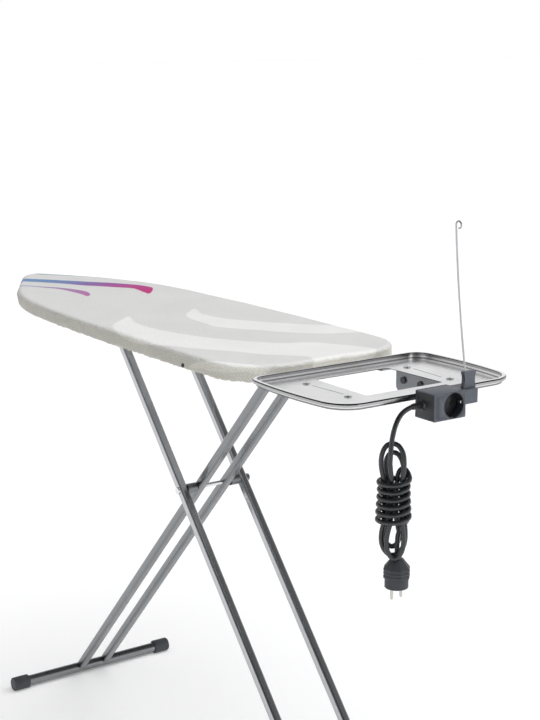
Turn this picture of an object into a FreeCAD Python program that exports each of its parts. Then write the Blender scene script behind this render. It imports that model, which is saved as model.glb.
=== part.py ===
import FreeCAD, Part
import math
import os

from FreeCAD import Vector

# Folding ironing board with an iron rest, a clamped-on mains socket and a cable rod.
# Everything is drawn in millimetres from the iron rest: X = 0 is the rest's edge beside the
# board, +X runs away from the board, Y = 0 is the middle and Z = 0 is the rest's floor.
# place() then moves the finished solids so that they stand on Z = 0.

# ---- ironing surface
BOARD_HEIGHT = 900.0        # ironing surface above the floor
BOARD_LENGTH = 1140.0
BOARD_WIDTH = 380.0
HEEL_RADIUS = 100.0         # corners at the iron-rest end
HEEL_GAP = 10.0             # heel to iron rest
BOARD_RISE = 19.0           # ironing surface above the rest's floor
COVER_THK = 1.5
COVER_DROP = 30.0           # depth of the cover's skirt
PAD_THK = 8.0
PANEL_THK = 1.2
RIM_DEPTH = 14.0            # formed edge tube under the panel
RIM_WIDTH = 14.0
RIM_WALL = 1.5
STEAM_HOLE = 16.0
STEAM_PITCH = 36.0
SKIN_GAP = 0.3              # cover to rim
BRACE_WIDTH = 40.0
BRACE_THK = 1.5

# ---- leg frames
LEG_SIZE = 18.0             # rounded square tube
LEG_CORNER = 5.0
LEG_WALL = 1.2
INNER_HALF = 31.0           # leg centre lines from the middle
OUTER_HALF = 70.0
INNER_LEAN = 42.57          # degrees from upright
OUTER_LEAN = 40.77
HINGE_DROP = 49.0           # leg hinge below the ironing surface
HINGE_INSET = 130.0         # leg hinge from the heel
PIVOT_DROP = 274.0          # crossing point below the leg hinge
FOLD_END_LEAN = 1.93        # slope left in the inner legs when folded, degrees
PIN_R = 4.0
RUNNING = 0.06              # radial clearance of a pin in its bore
BAR_R = 7.0                 # slide bar
BAR_WALL = 1.5
FOOT_R = 11.0
FOOT_WALL = 1.2
FOOT_HALF = 190.0
CAP_R = 15.0
CAP_LENGTH = 38.0
CAP_OVER = 26.0             # how much of the cap sleeves the foot bar
CAP_FLAT = 0.6
END_PAST = 14.0             # leg tube beyond the slide bar's centre
PART_GAP = 0.3              # between bodies that turn on each other
SPACER_R = 10.0

# ---- slide rails, rack and release lever
RAIL_Y = 92.0
RAIL_THK = 2.0
RAIL_FLANGE = 10.0
RAIL_BELOW = 14.0           # rail below the bar's centre
SLOT_CLEAR = 1.5
RAIL_END = 22.0             # rail beyond the bar's travel
BAR_PAST = 8.0              # bar beyond the rail's face
RACK_THK = 6.0
RACK_PITCH = 46.0
LEVER_Y = 107.0
LEVER_THK = 3.0
LEVER_PIN_R = 3.0
LEVER_LENGTH = 190.0
LEVER_BACK = 50.0           # lever pin from the slide bar
SPRING_WIDTH = 5.0

# ---- iron rest
REST_LENGTH = 253.0
REST_WIDTH = 392.0
REST_EDGE_HALF = (188.0, 183.0)     # half widths at the board's side and the far side
REST_RISE = 10.0            # rim above the floor
REST_LIP = 4.5              # lip's lower edge above the floor
REST_LEDGE = 7.0
REST_BOW = 18.0             # widest place, from the middle towards the board
REST_THK = 1.2
REST_CORNER = (34.0, 52.0)  # corner radii at the board's side and the far side
OPENING = (45.0, 185.0, 78.0, 82.0)     # near X, far X, half widths there
OPENING_R = 6.0
RIVET_X = (60.0, 172.5)
RIVET_Y = 110.0
GROOVE_X = (77.0, 155.0)
GROOVE_Y = (110.0, 105.0)
ARM_WIDTH = 26.0
ARM_THK = 4.0
ARM_STEP_X = (6.0, 18.0)    # where the arm steps down to pass under the skirt
ARM_UNDER = 0.8             # arm below the skirt
ARM_LAP = 78.0              # arm under the board
BLOCK_LENGTH = 36.0
BOLT_R = 3.0
BRACKET_X = (62.0, 196.0)
BRACKET_Y = 84.0
BRACKET_DROP = 36.0
BRACKET_SHORT_DROP = 12.0   # the socket side keeps only a stiffening lip
BRACKET_THK = 1.5
BRACKET_HOLES = (82.0, 126.0)
BRACKET_HOLE_Z = -16.0
BRACKET_HOLE_R = 4.5
BUFFER_R = 6.2
BUFFER_HEAD = 2.6
BUFFER_TAIL = 1.4

# ---- mains socket
SOCKET_Y = (-38.0, 28.0)
SOCKET_Z = (-27.5, 17.0)
SOCKET_DEPTH = 46.0
SOCKET_WALL = 2.5
SOCKET_GAP = 0.5            # rest to back cover
SOCKET_EDGE = 2.0
RECESS_Y = 2.5
RECESS_Z = -5.2
RECESS_R = 19.8
RECESS_DEPTH = 17.5
CUP_WALL = 1.2
EARTH_WIDTH = 5.0
PIN_HOLE_R = 2.9
PIN_SPACING = 19.0
GLAND_X = 17.7              # gland from the rest's outer edge
GLAND_Z = -4.5
GLAND_R = 9.0
GLAND_LENGTH = 22.0
HOOK_WIDTH = 14.0
HOLDER_Y = 56.0
HOLDER_Z = (-8.0, 15.5)
CLIP_CENTRE = (33.0, 44.0)  # from the rest's outer edge, and Y
CLIP_SIZE = (8.0, 25.0, 27.5)
ROD_R = 1.5
ROD_GAP = 0.8               # lets the rod tilt on its clip
ROD_INSET = 7.5             # rod from the clip's middle
ROD_TOP = (-15.0, -13.4, 232.0)     # rod's top from its foot
ROD_BOW = 3.0
EYE_R = 6.0

# ---- lead
CORD_R = 4.0
HANK_R = 29.0
PLUG_R = 19.2
PLUG_NECK_R = 11.0
PLUG_GRIP_R = 22.5
PLUG_STEPS = (15.0, 16.0, 17.0)     # shoulder, grip and front of the plug

# ---- worked out from the sizes above
HEEL_X = -HEEL_GAP
NOSE_X = HEEL_X - BOARD_LENGTH
HALF = BOARD_WIDTH / 2
SKIN_TOP = BOARD_RISE
PAD_TOP = SKIN_TOP - COVER_THK
PANEL_TOP = PAD_TOP - PAD_THK
RIM_TOP = PANEL_TOP - PANEL_THK
RIM_BOTTOM = RIM_TOP - RIM_DEPTH
SKIRT_BOTTOM = SKIN_TOP - COVER_DROP
FLOOR_Z = BOARD_RISE - BOARD_HEIGHT
HINGE = Vector(HEEL_X - HINGE_INSET, 0, SKIN_TOP - HINGE_DROP)
PIVOT = HINGE + Vector(-PIVOT_DROP * math.tan(math.radians(INNER_LEAN)), 0, -PIVOT_DROP)
BAR = PIVOT + Vector(-PIVOT_DROP * math.tan(math.radians(OUTER_LEAN)), 0, PIVOT_DROP)
FOOT_DROP = PIVOT.z - FLOOR_Z - CAP_R + CAP_FLAT
INNER_FOOT = PIVOT + Vector(-FOOT_DROP * math.tan(math.radians(INNER_LEAN)), 0, -FOOT_DROP)
OUTER_FOOT = PIVOT + Vector(FOOT_DROP * math.tan(math.radians(OUTER_LEAN)), 0, -FOOT_DROP)
INNER_ARM = PIVOT_DROP / math.cos(math.radians(INNER_LEAN))
OUTER_ARM = PIVOT_DROP / math.cos(math.radians(OUTER_LEAN))
FOLDED_DROP = INNER_ARM * math.sin(math.radians(FOLD_END_LEAN))
FOLDED_BAR_X = (HINGE.x - math.sqrt(INNER_ARM ** 2 - FOLDED_DROP ** 2)
                - math.sqrt(OUTER_ARM ** 2 - FOLDED_DROP ** 2))
REST_END = REST_LENGTH
BACK_X = REST_END + SOCKET_GAP
FRONT_X = BACK_X + SOCKET_DEPTH
CLIP_X = REST_END + CLIP_CENTRE[0]
CLIP_Y = CLIP_CENTRE[1]
ROD_FOOT = Vector(CLIP_X, CLIP_Y - ROD_INSET, HOLDER_Z[1] + CLIP_SIZE[2] + ROD_GAP)
MIDDLE = Vector((NOSE_X + FRONT_X) / 2, 0, FLOOR_Z)

# The lead leaves the gland, bends down and reaches the top of its hank.
LEAD_ROUTE = (
    Vector(270.7, -60.0, -4.5),
    Vector(270.7, -74.0, -7.5),
    Vector(270.7, -86.0, -17.0),
    Vector(271.0, -94.5, -32.0),
    Vector(271.5, -99.5, -48.5),
    Vector(272.0, -101.5, -58.0),
)
HANK_X, HANK_Y, HANK_TOP = 272.0, -95.0, -58.0
HANK_PROFILE = ((0, 0), (17, 0), (25, -22), (25, -50), (HANK_R, -52), (HANK_R, -138),
                (24, -140), (24, -172), (15, -190), (0, -190))
PLUG_X, PLUG_Y, PLUG_TOP = 272.0, -86.0, -248.0

Y_AXIS = Vector(0, 1, 0)
Z_AXIS = Vector(0, 0, 1)
X_AXIS = Vector(1, 0, 0)


def box(x, y, z):
    """A box from three (low, high) pairs."""
    return Part.makeBox(x[1] - x[0], y[1] - y[0], z[1] - z[0], Vector(x[0], y[0], z[0]))


def rod(start, axis, length, radius):
    return Part.makeCylinder(radius, length, start, axis)


def ring(start, axis, length, outer, inner):
    return rod(start, axis, length, outer).cut(rod(start, axis, length, inner))


def group(shapes):
    return Part.makeCompound(list(shapes))


def mirrored(shape):
    return shape.mirror(Vector(0, 0, 0), Y_AXIS)


def upright_edges(shape, height):
    """The straight vertical edges at least as long as height."""
    found = []
    for edge in shape.Edges:
        low, high = edge.BoundBox.ZMin, edge.BoundBox.ZMax
        flat = max(edge.BoundBox.XLength, edge.BoundBox.YLength)
        if high - low > height * 0.95 and flat < 0.01:
            found.append(edge)
    return found


def edges_at(shape, height):
    """The edges that lie whole in the plane at one height."""
    return [e for e in shape.Edges
            if abs(e.BoundBox.ZMin - height) < 0.01 and abs(e.BoundBox.ZMax - height) < 0.01]


def rounded_rect(width, depth, corner):
    """A face on XY, centred, with round corners."""
    w, d = width / 2, depth / 2
    block = Part.makeBox(width, depth, 1, Vector(-w, -d, 0))
    block = block.makeFillet(corner, upright_edges(block, 1))
    return next(f for f in block.Faces if abs(f.CenterOfMass.z) < 0.01)


def board_wire(inset):
    """The board's outline, moved in by inset: square heel, bowed sides, round nose."""
    half = HALF - inset
    heel = HEEL_X - inset
    nose = NOSE_X + inset
    radius = HEEL_RADIUS - inset
    shape = ((0.265, 1.0), (0.49, 0.985), (0.625, 0.945), (0.77, 0.825), (0.882, 0.53),
             (0.945, 0.30))
    length = heel - nose
    side = [Vector(heel - length * t, half * w, 0) for t, w in shape]
    tip = Vector(nose, 0, 0)
    start = Vector(heel - radius, half * 0.985, 0)
    curve = Part.BSplineCurve()
    curve.interpolate(Points=[start] + side + [tip], InitialTangent=Vector(-1, 0.035, 0),
                      FinalTangent=Vector(0, -1, 0))
    upper = curve.toShape()
    end = Vector(heel, half * 0.985 - radius, 0)
    bend = radius * (1 - math.sqrt(0.5))
    middle = Vector(heel - bend, half * 0.985 - bend, 0)
    corner = Part.Arc(start, middle, end).toShape()
    back = Part.makeLine(end, Vector(end.x, -end.y, 0))
    return Part.Wire(Part.__sortEdges__([upper, corner, back, mirrored(corner), mirrored(upper)]))


def board_slab(inset, low, high):
    slab = Part.Face(board_wire(inset)).extrude(Vector(0, 0, high - low))
    slab.translate(Vector(0, 0, low))
    return slab


def steam_holes(inset):
    """Staggered rows of round holes that stay clear of the panel's edge."""
    limit = Part.Face(board_wire(inset))
    rows = int(HALF / (STEAM_PITCH * 0.866))
    holes = []
    for row in range(-rows, rows + 1):
        y = row * STEAM_PITCH * 0.866
        x = HEEL_X - inset - (STEAM_PITCH / 2 if row % 2 else 0)
        while x > NOSE_X + inset:
            if limit.isInside(Vector(x, y, 0), 0.01, True):
                circle = Part.makeCircle(STEAM_HOLE / 2, Vector(x, y, 0))
                holes.append(Part.Wire(circle))
            x -= STEAM_PITCH
    return holes


def ironing_panel():
    outline = board_wire(COVER_THK + SKIN_GAP)
    holes = steam_holes(COVER_THK + RIM_WIDTH + STEAM_HOLE)
    face = Part.makeFace([outline] + holes, "Part::FaceMakerBullseye")
    plate = face.extrude(Vector(0, 0, PANEL_THK))
    plate.translate(Vector(0, 0, RIM_TOP))
    return plate


def board_rim():
    """The formed edge: a square tube that follows the outline under the panel."""
    outer = COVER_THK + SKIN_GAP
    solid = board_slab(outer, RIM_BOTTOM, RIM_TOP)
    solid = solid.cut(board_slab(outer + RIM_WIDTH, RIM_BOTTOM - 1, RIM_TOP + 1))
    hollow = board_slab(outer + RIM_WALL, RIM_BOTTOM - 1, RIM_TOP - RIM_WALL)
    core = board_slab(outer + RIM_WIDTH - RIM_WALL, RIM_BOTTOM - 2, RIM_TOP)
    return solid.cut(hollow.cut(core))


def pad():
    slab = board_slab(COVER_THK + SKIN_GAP, PANEL_TOP, PAD_TOP)
    return slab.makeFillet(PAD_THK * 0.5, edges_at(slab, PAD_TOP))


def cover():
    skin = board_slab(0, SKIRT_BOTTOM, SKIN_TOP)
    skin = skin.makeFillet(PAD_THK * 0.5 + COVER_THK, edges_at(skin, SKIN_TOP))
    inside = board_slab(COVER_THK, SKIRT_BOTTOM - 1, PAD_TOP)
    inside = inside.makeFillet(PAD_THK * 0.5, edges_at(inside, PAD_TOP))
    return skin.cut(inside)


def cross_brace(x):
    """A folded channel across the underside of the panel."""
    half, thk = BRACE_WIDTH / 2, BRACE_THK
    brace = box((x - half, x + half), (-HALF, HALF), (RIM_BOTTOM, RIM_TOP))
    brace = brace.cut(box((x - half + thk, x + half - thk), (-HALF, HALF),
                          (RIM_BOTTOM - 1, RIM_TOP - thk)))
    return brace.common(board_slab(COVER_THK + SKIN_GAP + RIM_WIDTH, RIM_BOTTOM, RIM_TOP))


def slide_rail():
    """One of two angles under the panel; the slide bar's end runs in its slot."""
    low, high = FOLDED_BAR_X - RAIL_END, BAR.x + RAIL_END
    web = box((low, high), (RAIL_Y, RAIL_Y + RAIL_THK), (BAR.z - RAIL_BELOW, RIM_TOP))
    flange = box((low, high), (RAIL_Y, RAIL_Y + RAIL_FLANGE), (RIM_TOP - RAIL_THK, RIM_TOP))
    half = BAR_R + SLOT_CLEAR
    slot = box((FOLDED_BAR_X - half, BAR.x + half), (RAIL_Y - 1, RAIL_Y + RAIL_THK + 1),
               (BAR.z - half, BAR.z + half))
    return web.cut(slot).fuse(flange).removeSplitter()


def height_rack():
    """Toothed strip above the slide bar, one notch for each height."""
    low, high = FOLDED_BAR_X - RAIL_END, BAR.x + RAIL_END
    bottom = BAR.z + BAR_R + SLOT_CLEAR
    strip = box((low, high), (-RACK_THK / 2, RACK_THK / 2), (bottom, RIM_TOP))
    for step in range(int((BAR.x - FOLDED_BAR_X) / RACK_PITCH) + 1):
        notch = rod(Vector(BAR.x - step * RACK_PITCH, -RACK_THK, bottom - SLOT_CLEAR),
                    Y_AXIS, 2 * RACK_THK, BAR_R)
        strip = strip.cut(notch)
    return strip


def hinge_bracket():
    """Channel under the heel; its two ears carry the inner legs' pin."""
    ear = INNER_HALF + LEG_SIZE / 2 + 5
    base = box((HINGE.x - 40, HINGE.x + 40), (-ear - 2.5, ear + 2.5), (RIM_TOP - 2.5, RIM_TOP))
    for side in (-1, 1):
        y = sorted((side * ear, side * (ear + 2.5)))
        plate = box((HINGE.x - 26, HINGE.x + 26), y, (HINGE.z, RIM_TOP - 2.5))
        plate = plate.fuse(rod(Vector(HINGE.x, y[0], HINGE.z), Y_AXIS, 2.5, 12))
        plate = plate.cut(box((HINGE.x - 40, HINGE.x - 12), y, (HINGE.z - 20, HINGE.z)))
        plate = plate.cut(box((HINGE.x + 12, HINGE.x + 40), y, (HINGE.z - 20, HINGE.z)))
        base = base.fuse(plate)
    hole = rod(Vector(HINGE.x, -ear - 5, HINGE.z), Y_AXIS, 2 * ear + 10, PIN_R)
    return base.removeSplitter().cut(hole)


def hinge_pin():
    end = INNER_HALF + LEG_SIZE / 2 + 7.5
    shaft = rod(Vector(HINGE.x, -end, HINGE.z), Y_AXIS, 2 * end, PIN_R)
    for y in (-end - 2.5, end):
        shaft = shaft.fuse(rod(Vector(HINGE.x, y, HINGE.z), Y_AXIS, 2.5, PIN_R + 2.5))
    return shaft


def leg_tube(top, foot, y, ends):
    """A rounded square tube from top to foot at one side, cut to what it meets."""
    run = foot - top
    turn = FreeCAD.Rotation(Z_AXIS, run)
    outer = rounded_rect(LEG_SIZE, LEG_SIZE, LEG_CORNER)
    inner = rounded_rect(LEG_SIZE - 2 * LEG_WALL, LEG_SIZE - 2 * LEG_WALL, LEG_CORNER - LEG_WALL)
    tube = outer.extrude(Vector(0, 0, run.Length)).cut(inner.extrude(Vector(0, 0, run.Length)))
    tube.Placement = FreeCAD.Placement(Vector(top.x, y, top.z), turn)
    for centre, radius in ends:
        tube = tube.cut(rod(Vector(centre.x, y - LEG_SIZE, centre.z), Y_AXIS, 2 * LEG_SIZE, radius))
    return tube


def inner_leg(y):
    ends = ((HINGE, PIN_R * 2), (PIVOT, PIN_R + RUNNING), (INNER_FOOT, FOOT_R))
    return leg_tube(HINGE, INNER_FOOT, y, ends)


def outer_leg(y):
    past = (BAR - OUTER_FOOT).normalize() * END_PAST
    ends = ((BAR, BAR_R), (PIVOT, PIN_R), (OUTER_FOOT, FOOT_R))
    return leg_tube(BAR + past, OUTER_FOOT, y, ends)


def hinge_tube():
    end = INNER_HALF + LEG_SIZE / 2 + 4
    return ring(Vector(HINGE.x, -end, HINGE.z), Y_AXIS, 2 * end, PIN_R * 2, PIN_R + RUNNING)


def slide_bar():
    end = RAIL_Y + RAIL_THK + BAR_PAST
    return ring(Vector(BAR.x, -end, BAR.z), Y_AXIS, 2 * end, BAR_R, BAR_R - BAR_WALL)


def foot_bar(centre):
    return ring(Vector(centre.x, -FOOT_HALF, centre.z), Y_AXIS, 2 * FOOT_HALF, FOOT_R,
                FOOT_R - FOOT_WALL)


def foot_cap(centre):
    """A moulded cap over the end of a foot bar, with a flat to stand on."""
    start = Vector(centre.x, FOOT_HALF - CAP_OVER, centre.z)
    cap = rod(start, Y_AXIS, CAP_LENGTH, CAP_R)
    rims = [e for e in cap.Edges if abs(e.BoundBox.YMin - e.BoundBox.YMax) < 0.01]
    cap = cap.makeFillet(3, rims)
    cap = cap.cut(rod(start - Y_AXIS, Y_AXIS, CAP_OVER + 1, FOOT_R))
    return cap.cut(box((centre.x - 20, centre.x + 20), (0, FOOT_HALF + CAP_LENGTH),
                       (FLOOR_Z - 5, FLOOR_Z)))


def pivot_rod():
    """The crossing rod, with a domed head and a nut outside the outer legs."""
    end = OUTER_HALF + LEG_SIZE / 2
    shaft = rod(Vector(PIVOT.x, -end, PIVOT.z), Y_AXIS, 2 * end + 8, PIN_R)
    head = rod(Vector(PIVOT.x, -end - 4, PIVOT.z), Y_AXIS, 4, PIN_R * 1.8)
    front = [e for e in head.Edges if abs(e.BoundBox.YMax + end + 4) < 0.01]
    return shaft.fuse(head.makeFillet(1.6, front))


def pivot_nut():
    end = OUTER_HALF + LEG_SIZE / 2
    corners = [Vector(PIVOT.x + 7.5 * math.cos(math.radians(a)), end,
                      PIVOT.z + 7.5 * math.sin(math.radians(a))) for a in range(0, 361, 60)]
    nut = Part.Face(Part.makePolygon(corners)).extrude(Vector(0, 6, 0))
    return nut.cut(rod(Vector(PIVOT.x, end - 1, PIVOT.z), Y_AXIS, 8, PIN_R))


def pivot_spacer():
    start = INNER_HALF + LEG_SIZE / 2 + PART_GAP
    length = OUTER_HALF - LEG_SIZE / 2 - start
    return ring(Vector(PIVOT.x, start, PIVOT.z), Y_AXIS, length, SPACER_R, PIN_R)


def lever_pivot():
    return Vector(BAR.x - LEVER_BACK, -LEVER_Y, BAR.z + BAR_R)


def lever_bracket():
    """Two ears under the panel, either side of the lever."""
    at = lever_pivot()
    ears = []
    for y in (at.y - LEVER_THK / 2 - PART_GAP - 2, at.y + LEVER_THK / 2 + PART_GAP):
        ears.append(box((at.x - 9, at.x + 9), (y, y + 2), (at.z - 7, RIM_TOP)))
    low, high = at.y - LEVER_THK / 2 - PART_GAP - 2, at.y + LEVER_THK / 2 + PART_GAP + 2
    bridge = box((at.x - 9, at.x + 9), (low, high), (RIM_TOP - 2, RIM_TOP))
    solid = bridge.fuse(ears).removeSplitter()
    return solid.cut(rod(Vector(at.x, low - 1, at.z), Y_AXIS, high - low + 2, LEVER_PIN_R))


def lever_pin():
    at = lever_pivot()
    half = LEVER_THK / 2 + PART_GAP + 2
    shaft = rod(Vector(at.x, at.y - half - SPRING_WIDTH - 1, at.z), Y_AXIS,
                2 * half + SPRING_WIDTH + 1, LEVER_PIN_R)
    return shaft.fuse(rod(Vector(at.x, at.y + half, at.z), Y_AXIS, 2, LEVER_PIN_R + 2))


def release_lever():
    """Flat lever whose lug sits over the slide bar; squeezing its grip lifts the lug."""
    at = lever_pivot()
    low, high = at.y - LEVER_THK / 2, at.y + LEVER_THK / 2
    arm = box((at.x - 7, at.x + LEVER_LENGTH), (low, high), (at.z - 5, at.z + 5))
    arm = arm.cut(rod(Vector(at.x, low - 1, at.z), Y_AXIS, LEVER_THK + 2, LEVER_PIN_R + RUNNING))
    lug = box((BAR.x - 8, BAR.x + 8), (high, -RAIL_Y - RAIL_THK - 1.5),
              (BAR.z + BAR_R + SLOT_CLEAR, BAR.z + BAR_R + 6))
    return arm.fuse(lug).removeSplitter()


def lever_grip():
    at = lever_pivot()
    end = at.x + LEVER_LENGTH
    grip = box((end - 70, end + 6), (at.y - 9, at.y + 9), (at.z - 10, at.z + 6))
    grip = grip.makeFillet(4, grip.Edges)
    return grip.cut(box((end - 80, end), (at.y - LEVER_THK / 2, at.y + LEVER_THK / 2),
                        (at.z - 5, at.z + 5)))


def lever_spring():
    """Torsion spring's coil on the lever pin's outer end, its tail under the panel."""
    at = lever_pivot()
    start = at.y - LEVER_THK / 2 - PART_GAP - 2 - SPRING_WIDTH
    coil = ring(Vector(at.x, start, at.z), Y_AXIS, SPRING_WIDTH, LEVER_PIN_R + 1.8, LEVER_PIN_R)
    tail = box((at.x - 4.8, at.x - 3.4), (start, start + SPRING_WIDTH / 2), (at.z, RIM_TOP))
    return coil.fuse(tail)


def rest_outline(inset, low, high):
    """The iron rest's outline as a slab: straight ends, bowed sides, round corners."""
    x0, x1 = inset, REST_END - inset
    wide = REST_WIDTH / 2 - inset
    near, far = (half - inset for half in REST_EDGE_HALF)
    side = Part.Arc(Vector(x0, near, low), Vector((x0 + x1) / 2 - REST_BOW, wide, low),
                    Vector(x1, far, low)).toShape()
    edges = [side, mirrored(side),
             Part.makeLine(Vector(x0, near, low), Vector(x0, -near, low)),
             Part.makeLine(Vector(x1, far, low), Vector(x1, -far, low))]
    slab = Part.Face(Part.Wire(Part.__sortEdges__(edges))).extrude(Vector(0, 0, high - low))
    for x, radius in zip((x0, x1), REST_CORNER):
        corners = [e for e in upright_edges(slab, high - low) if abs(e.BoundBox.XMin - x) < 1]
        slab = slab.makeFillet(radius - inset, corners)
    return slab


def rest_opening():
    x0, x1, h0, h1 = OPENING
    corners = [Vector(x0, -h0, -REST_THK - 1), Vector(x1, -h1, -REST_THK - 1),
               Vector(x1, h1, -REST_THK - 1), Vector(x0, h0, -REST_THK - 1)]
    face = Part.Face(Part.makePolygon(corners + corners[:1]))
    slab = face.extrude(Vector(0, 0, REST_THK + 2))
    return slab.makeFillet(OPENING_R, upright_edges(slab, REST_THK + 2))


def groove(side):
    """A pressed line between the two rivets of one side."""
    ends = [Vector(x, side * y, 0) for x, y in zip(GROOVE_X, GROOVE_Y)]
    run = ends[1] - ends[0]
    return rod(ends[0] + Vector(0, 0, 0.5), run, run.Length, 1.0)


def tray():
    """Pressed rest: flat floor, upright wall and a lip rolled out and down."""
    ledge = REST_LEDGE
    lip = rest_outline(0, REST_LIP, REST_RISE)
    lip = lip.makeFillet(2.8, edges_at(lip, REST_RISE))
    inner = rest_outline(ledge, -REST_THK, REST_RISE)
    wall = rest_outline(ledge - REST_THK, -REST_THK, REST_RISE - 1)
    under = rest_outline(REST_THK, 0, REST_RISE - REST_THK)
    under = under.cut(rest_outline(ledge - REST_THK, -1, REST_RISE + 1))
    pan = lip.fuse(wall).cut(under)
    pan = pan.cut(inner.cut(rest_outline(ledge - 2, -REST_THK - 1, 0)))
    pan = pan.cut(rest_opening()).cut(group((groove(-1), groove(1))))
    for x in RIVET_X:
        for side in (-1, 1):
            pan = pan.cut(rod(Vector(x, side * RIVET_Y, -3), Z_AXIS, 6, 2.5))
    return pan


def arm_levels():
    """Top of the arm under the rest and under the board."""
    return -REST_THK - BRACKET_THK, SKIRT_BOTTOM - ARM_UNDER


def tray_arm():
    """Flat bar that carries the rest: it steps down to pass under the cover's skirt."""
    high, low = arm_levels()
    start, end = HEEL_X - ARM_LAP, RIVET_X[1] + 14
    tops = [(start, low), (ARM_STEP_X[0], low), (ARM_STEP_X[1], high), (end, high)]
    profile = [Vector(x, 0, z) for x, z in tops]
    profile += [Vector(x, 0, z - ARM_THK) for x, z in reversed(tops)]
    bar = Part.Face(Part.makePolygon(profile + profile[:1])).extrude(Vector(0, ARM_WIDTH, 0))
    bar.translate(Vector(0, RIVET_Y - ARM_WIDTH / 2, 0))
    for rivet in RIVET_X:
        bar = bar.cut(rod(Vector(rivet, RIVET_Y, high - ARM_THK - 1), Z_AXIS, ARM_THK + 2, 2.5))
    return bar.cut(rod(Vector(arm_bolt_x(), RIVET_Y, low - ARM_THK - 1), Z_AXIS, ARM_THK + 2, BOLT_R))


def arm_bolt_x():
    return HEEL_X - ARM_LAP + BLOCK_LENGTH / 2


def arm_block():
    """Packing between an arm and the panel, with the bolt through it."""
    low = arm_levels()[1]
    x = (HEEL_X - ARM_LAP, HEEL_X - ARM_LAP + BLOCK_LENGTH)
    block = box(x, (RIVET_Y - ARM_WIDTH / 2, RIVET_Y + ARM_WIDTH / 2), (low, RIM_TOP))
    return block.cut(rod(Vector(arm_bolt_x(), RIVET_Y, low - 1), Z_AXIS, RIM_TOP - low + 2, BOLT_R))


def arm_bolt():
    low = arm_levels()[1] - ARM_THK
    at = Vector(arm_bolt_x(), RIVET_Y, low)
    head = rod(at - Vector(0, 0, 4), Z_AXIS, 4, BOLT_R + 2)
    return head.fuse(rod(at, Z_AXIS, RIM_TOP - low, BOLT_R)).removeSplitter()


def tray_bracket(drop, holes):
    """Angle riveted under the rest, with holes in its upright flange."""
    x = BRACKET_X
    top = box((RIVET_X[0] - 9, x[1]), (BRACKET_Y, RIVET_Y + 10), (-REST_THK - BRACKET_THK, -REST_THK))
    web = box(x, (BRACKET_Y, BRACKET_Y + BRACKET_THK), (-REST_THK - drop, -REST_THK))
    low = [e for e in web.Edges if e.BoundBox.YLength > BRACKET_THK * 0.9
           and abs(e.BoundBox.ZMax + REST_THK + drop) < 0.01]
    web = web.makeFillet(9, low)
    angle = top.fuse(web).removeSplitter()
    for hole in holes:
        angle = angle.cut(rod(Vector(hole, BRACKET_Y - 1, BRACKET_HOLE_Z), Y_AXIS,
                              BRACKET_THK + 2, BRACKET_HOLE_R))
    for rivet in RIVET_X:
        angle = angle.cut(rod(Vector(rivet, RIVET_Y, -5), Z_AXIS, 6, 2.5))
    return angle


def bracket_buffer(x):
    """Rubber buffer pushed through a hole of the flange."""
    at = Vector(x, BRACKET_Y, BRACKET_HOLE_Z)
    stem = rod(at, Y_AXIS, BRACKET_THK, BRACKET_HOLE_R)
    head = rod(at - Vector(0, BUFFER_HEAD, 0), Y_AXIS, BUFFER_HEAD, BUFFER_R)
    tail = rod(at + Vector(0, BRACKET_THK, 0), Y_AXIS, BUFFER_TAIL, BUFFER_R)
    return stem.fuse(head).fuse(tail).removeSplitter()


def tray_rivet(x, y):
    foot = arm_levels()[0] - ARM_THK
    body = rod(Vector(x, y, foot), Z_AXIS, -foot, 2.5)
    head = Part.makeSphere(6.2, Vector(x, y, -4.9))
    head = head.common(rod(Vector(x, y, 0), Z_AXIS, 3, 5))
    tail = rod(Vector(x, y, foot - 1.2), Z_AXIS, 1.2, 4)
    return body.fuse(head).fuse(tail).removeSplitter()


def recess_start(depth):
    return Vector(FRONT_X - depth, RECESS_Y, RECESS_Z)


def socket_housing():
    """Front shell of the socket: four walls and a face with the round recess."""
    shell = box((BACK_X + 3, FRONT_X), SOCKET_Y, SOCKET_Z)
    rounded = [e for e in shell.Edges if e.BoundBox.XMax > FRONT_X - 0.01 or e.BoundBox.XLength > 5]
    shell = shell.makeFillet(SOCKET_EDGE, rounded)
    w = SOCKET_WALL
    shell = shell.cut(box((BACK_X, FRONT_X - w), (SOCKET_Y[0] + w, SOCKET_Y[1] - w),
                          (SOCKET_Z[0] + w, SOCKET_Z[1] - w)))
    shell = shell.cut(rod(recess_start(RECESS_DEPTH + CUP_WALL), X_AXIS, SOCKET_DEPTH,
                          RECESS_R + CUP_WALL))
    gland = Vector(REST_END + GLAND_X, SOCKET_Y[0] - 1, GLAND_Z)
    shell = shell.cut(rod(gland, Y_AXIS, w + 2, GLAND_R * 0.6))
    groove_x = BACK_X + SOCKET_DEPTH * 0.4
    seam = box((groove_x, groove_x + 0.8), (SOCKET_Y[0] - 1, SOCKET_Y[1] + 1),
               (SOCKET_Z[0] - 1, SOCKET_Z[1] + 1))
    seam = seam.cut(box((groove_x - 1, groove_x + 2), (SOCKET_Y[0] + 0.5, SOCKET_Y[1] - 0.5),
                        (SOCKET_Z[0] + 0.5, SOCKET_Z[1] - 0.5)))
    return shell.cut(seam)


def socket_back():
    plate = box((BACK_X, BACK_X + 3), SOCKET_Y, SOCKET_Z)
    edges = [e for e in plate.Edges if e.BoundBox.XLength > 2.9]
    return plate.makeFillet(SOCKET_EDGE, edges).cut(rim_hook())


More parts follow.
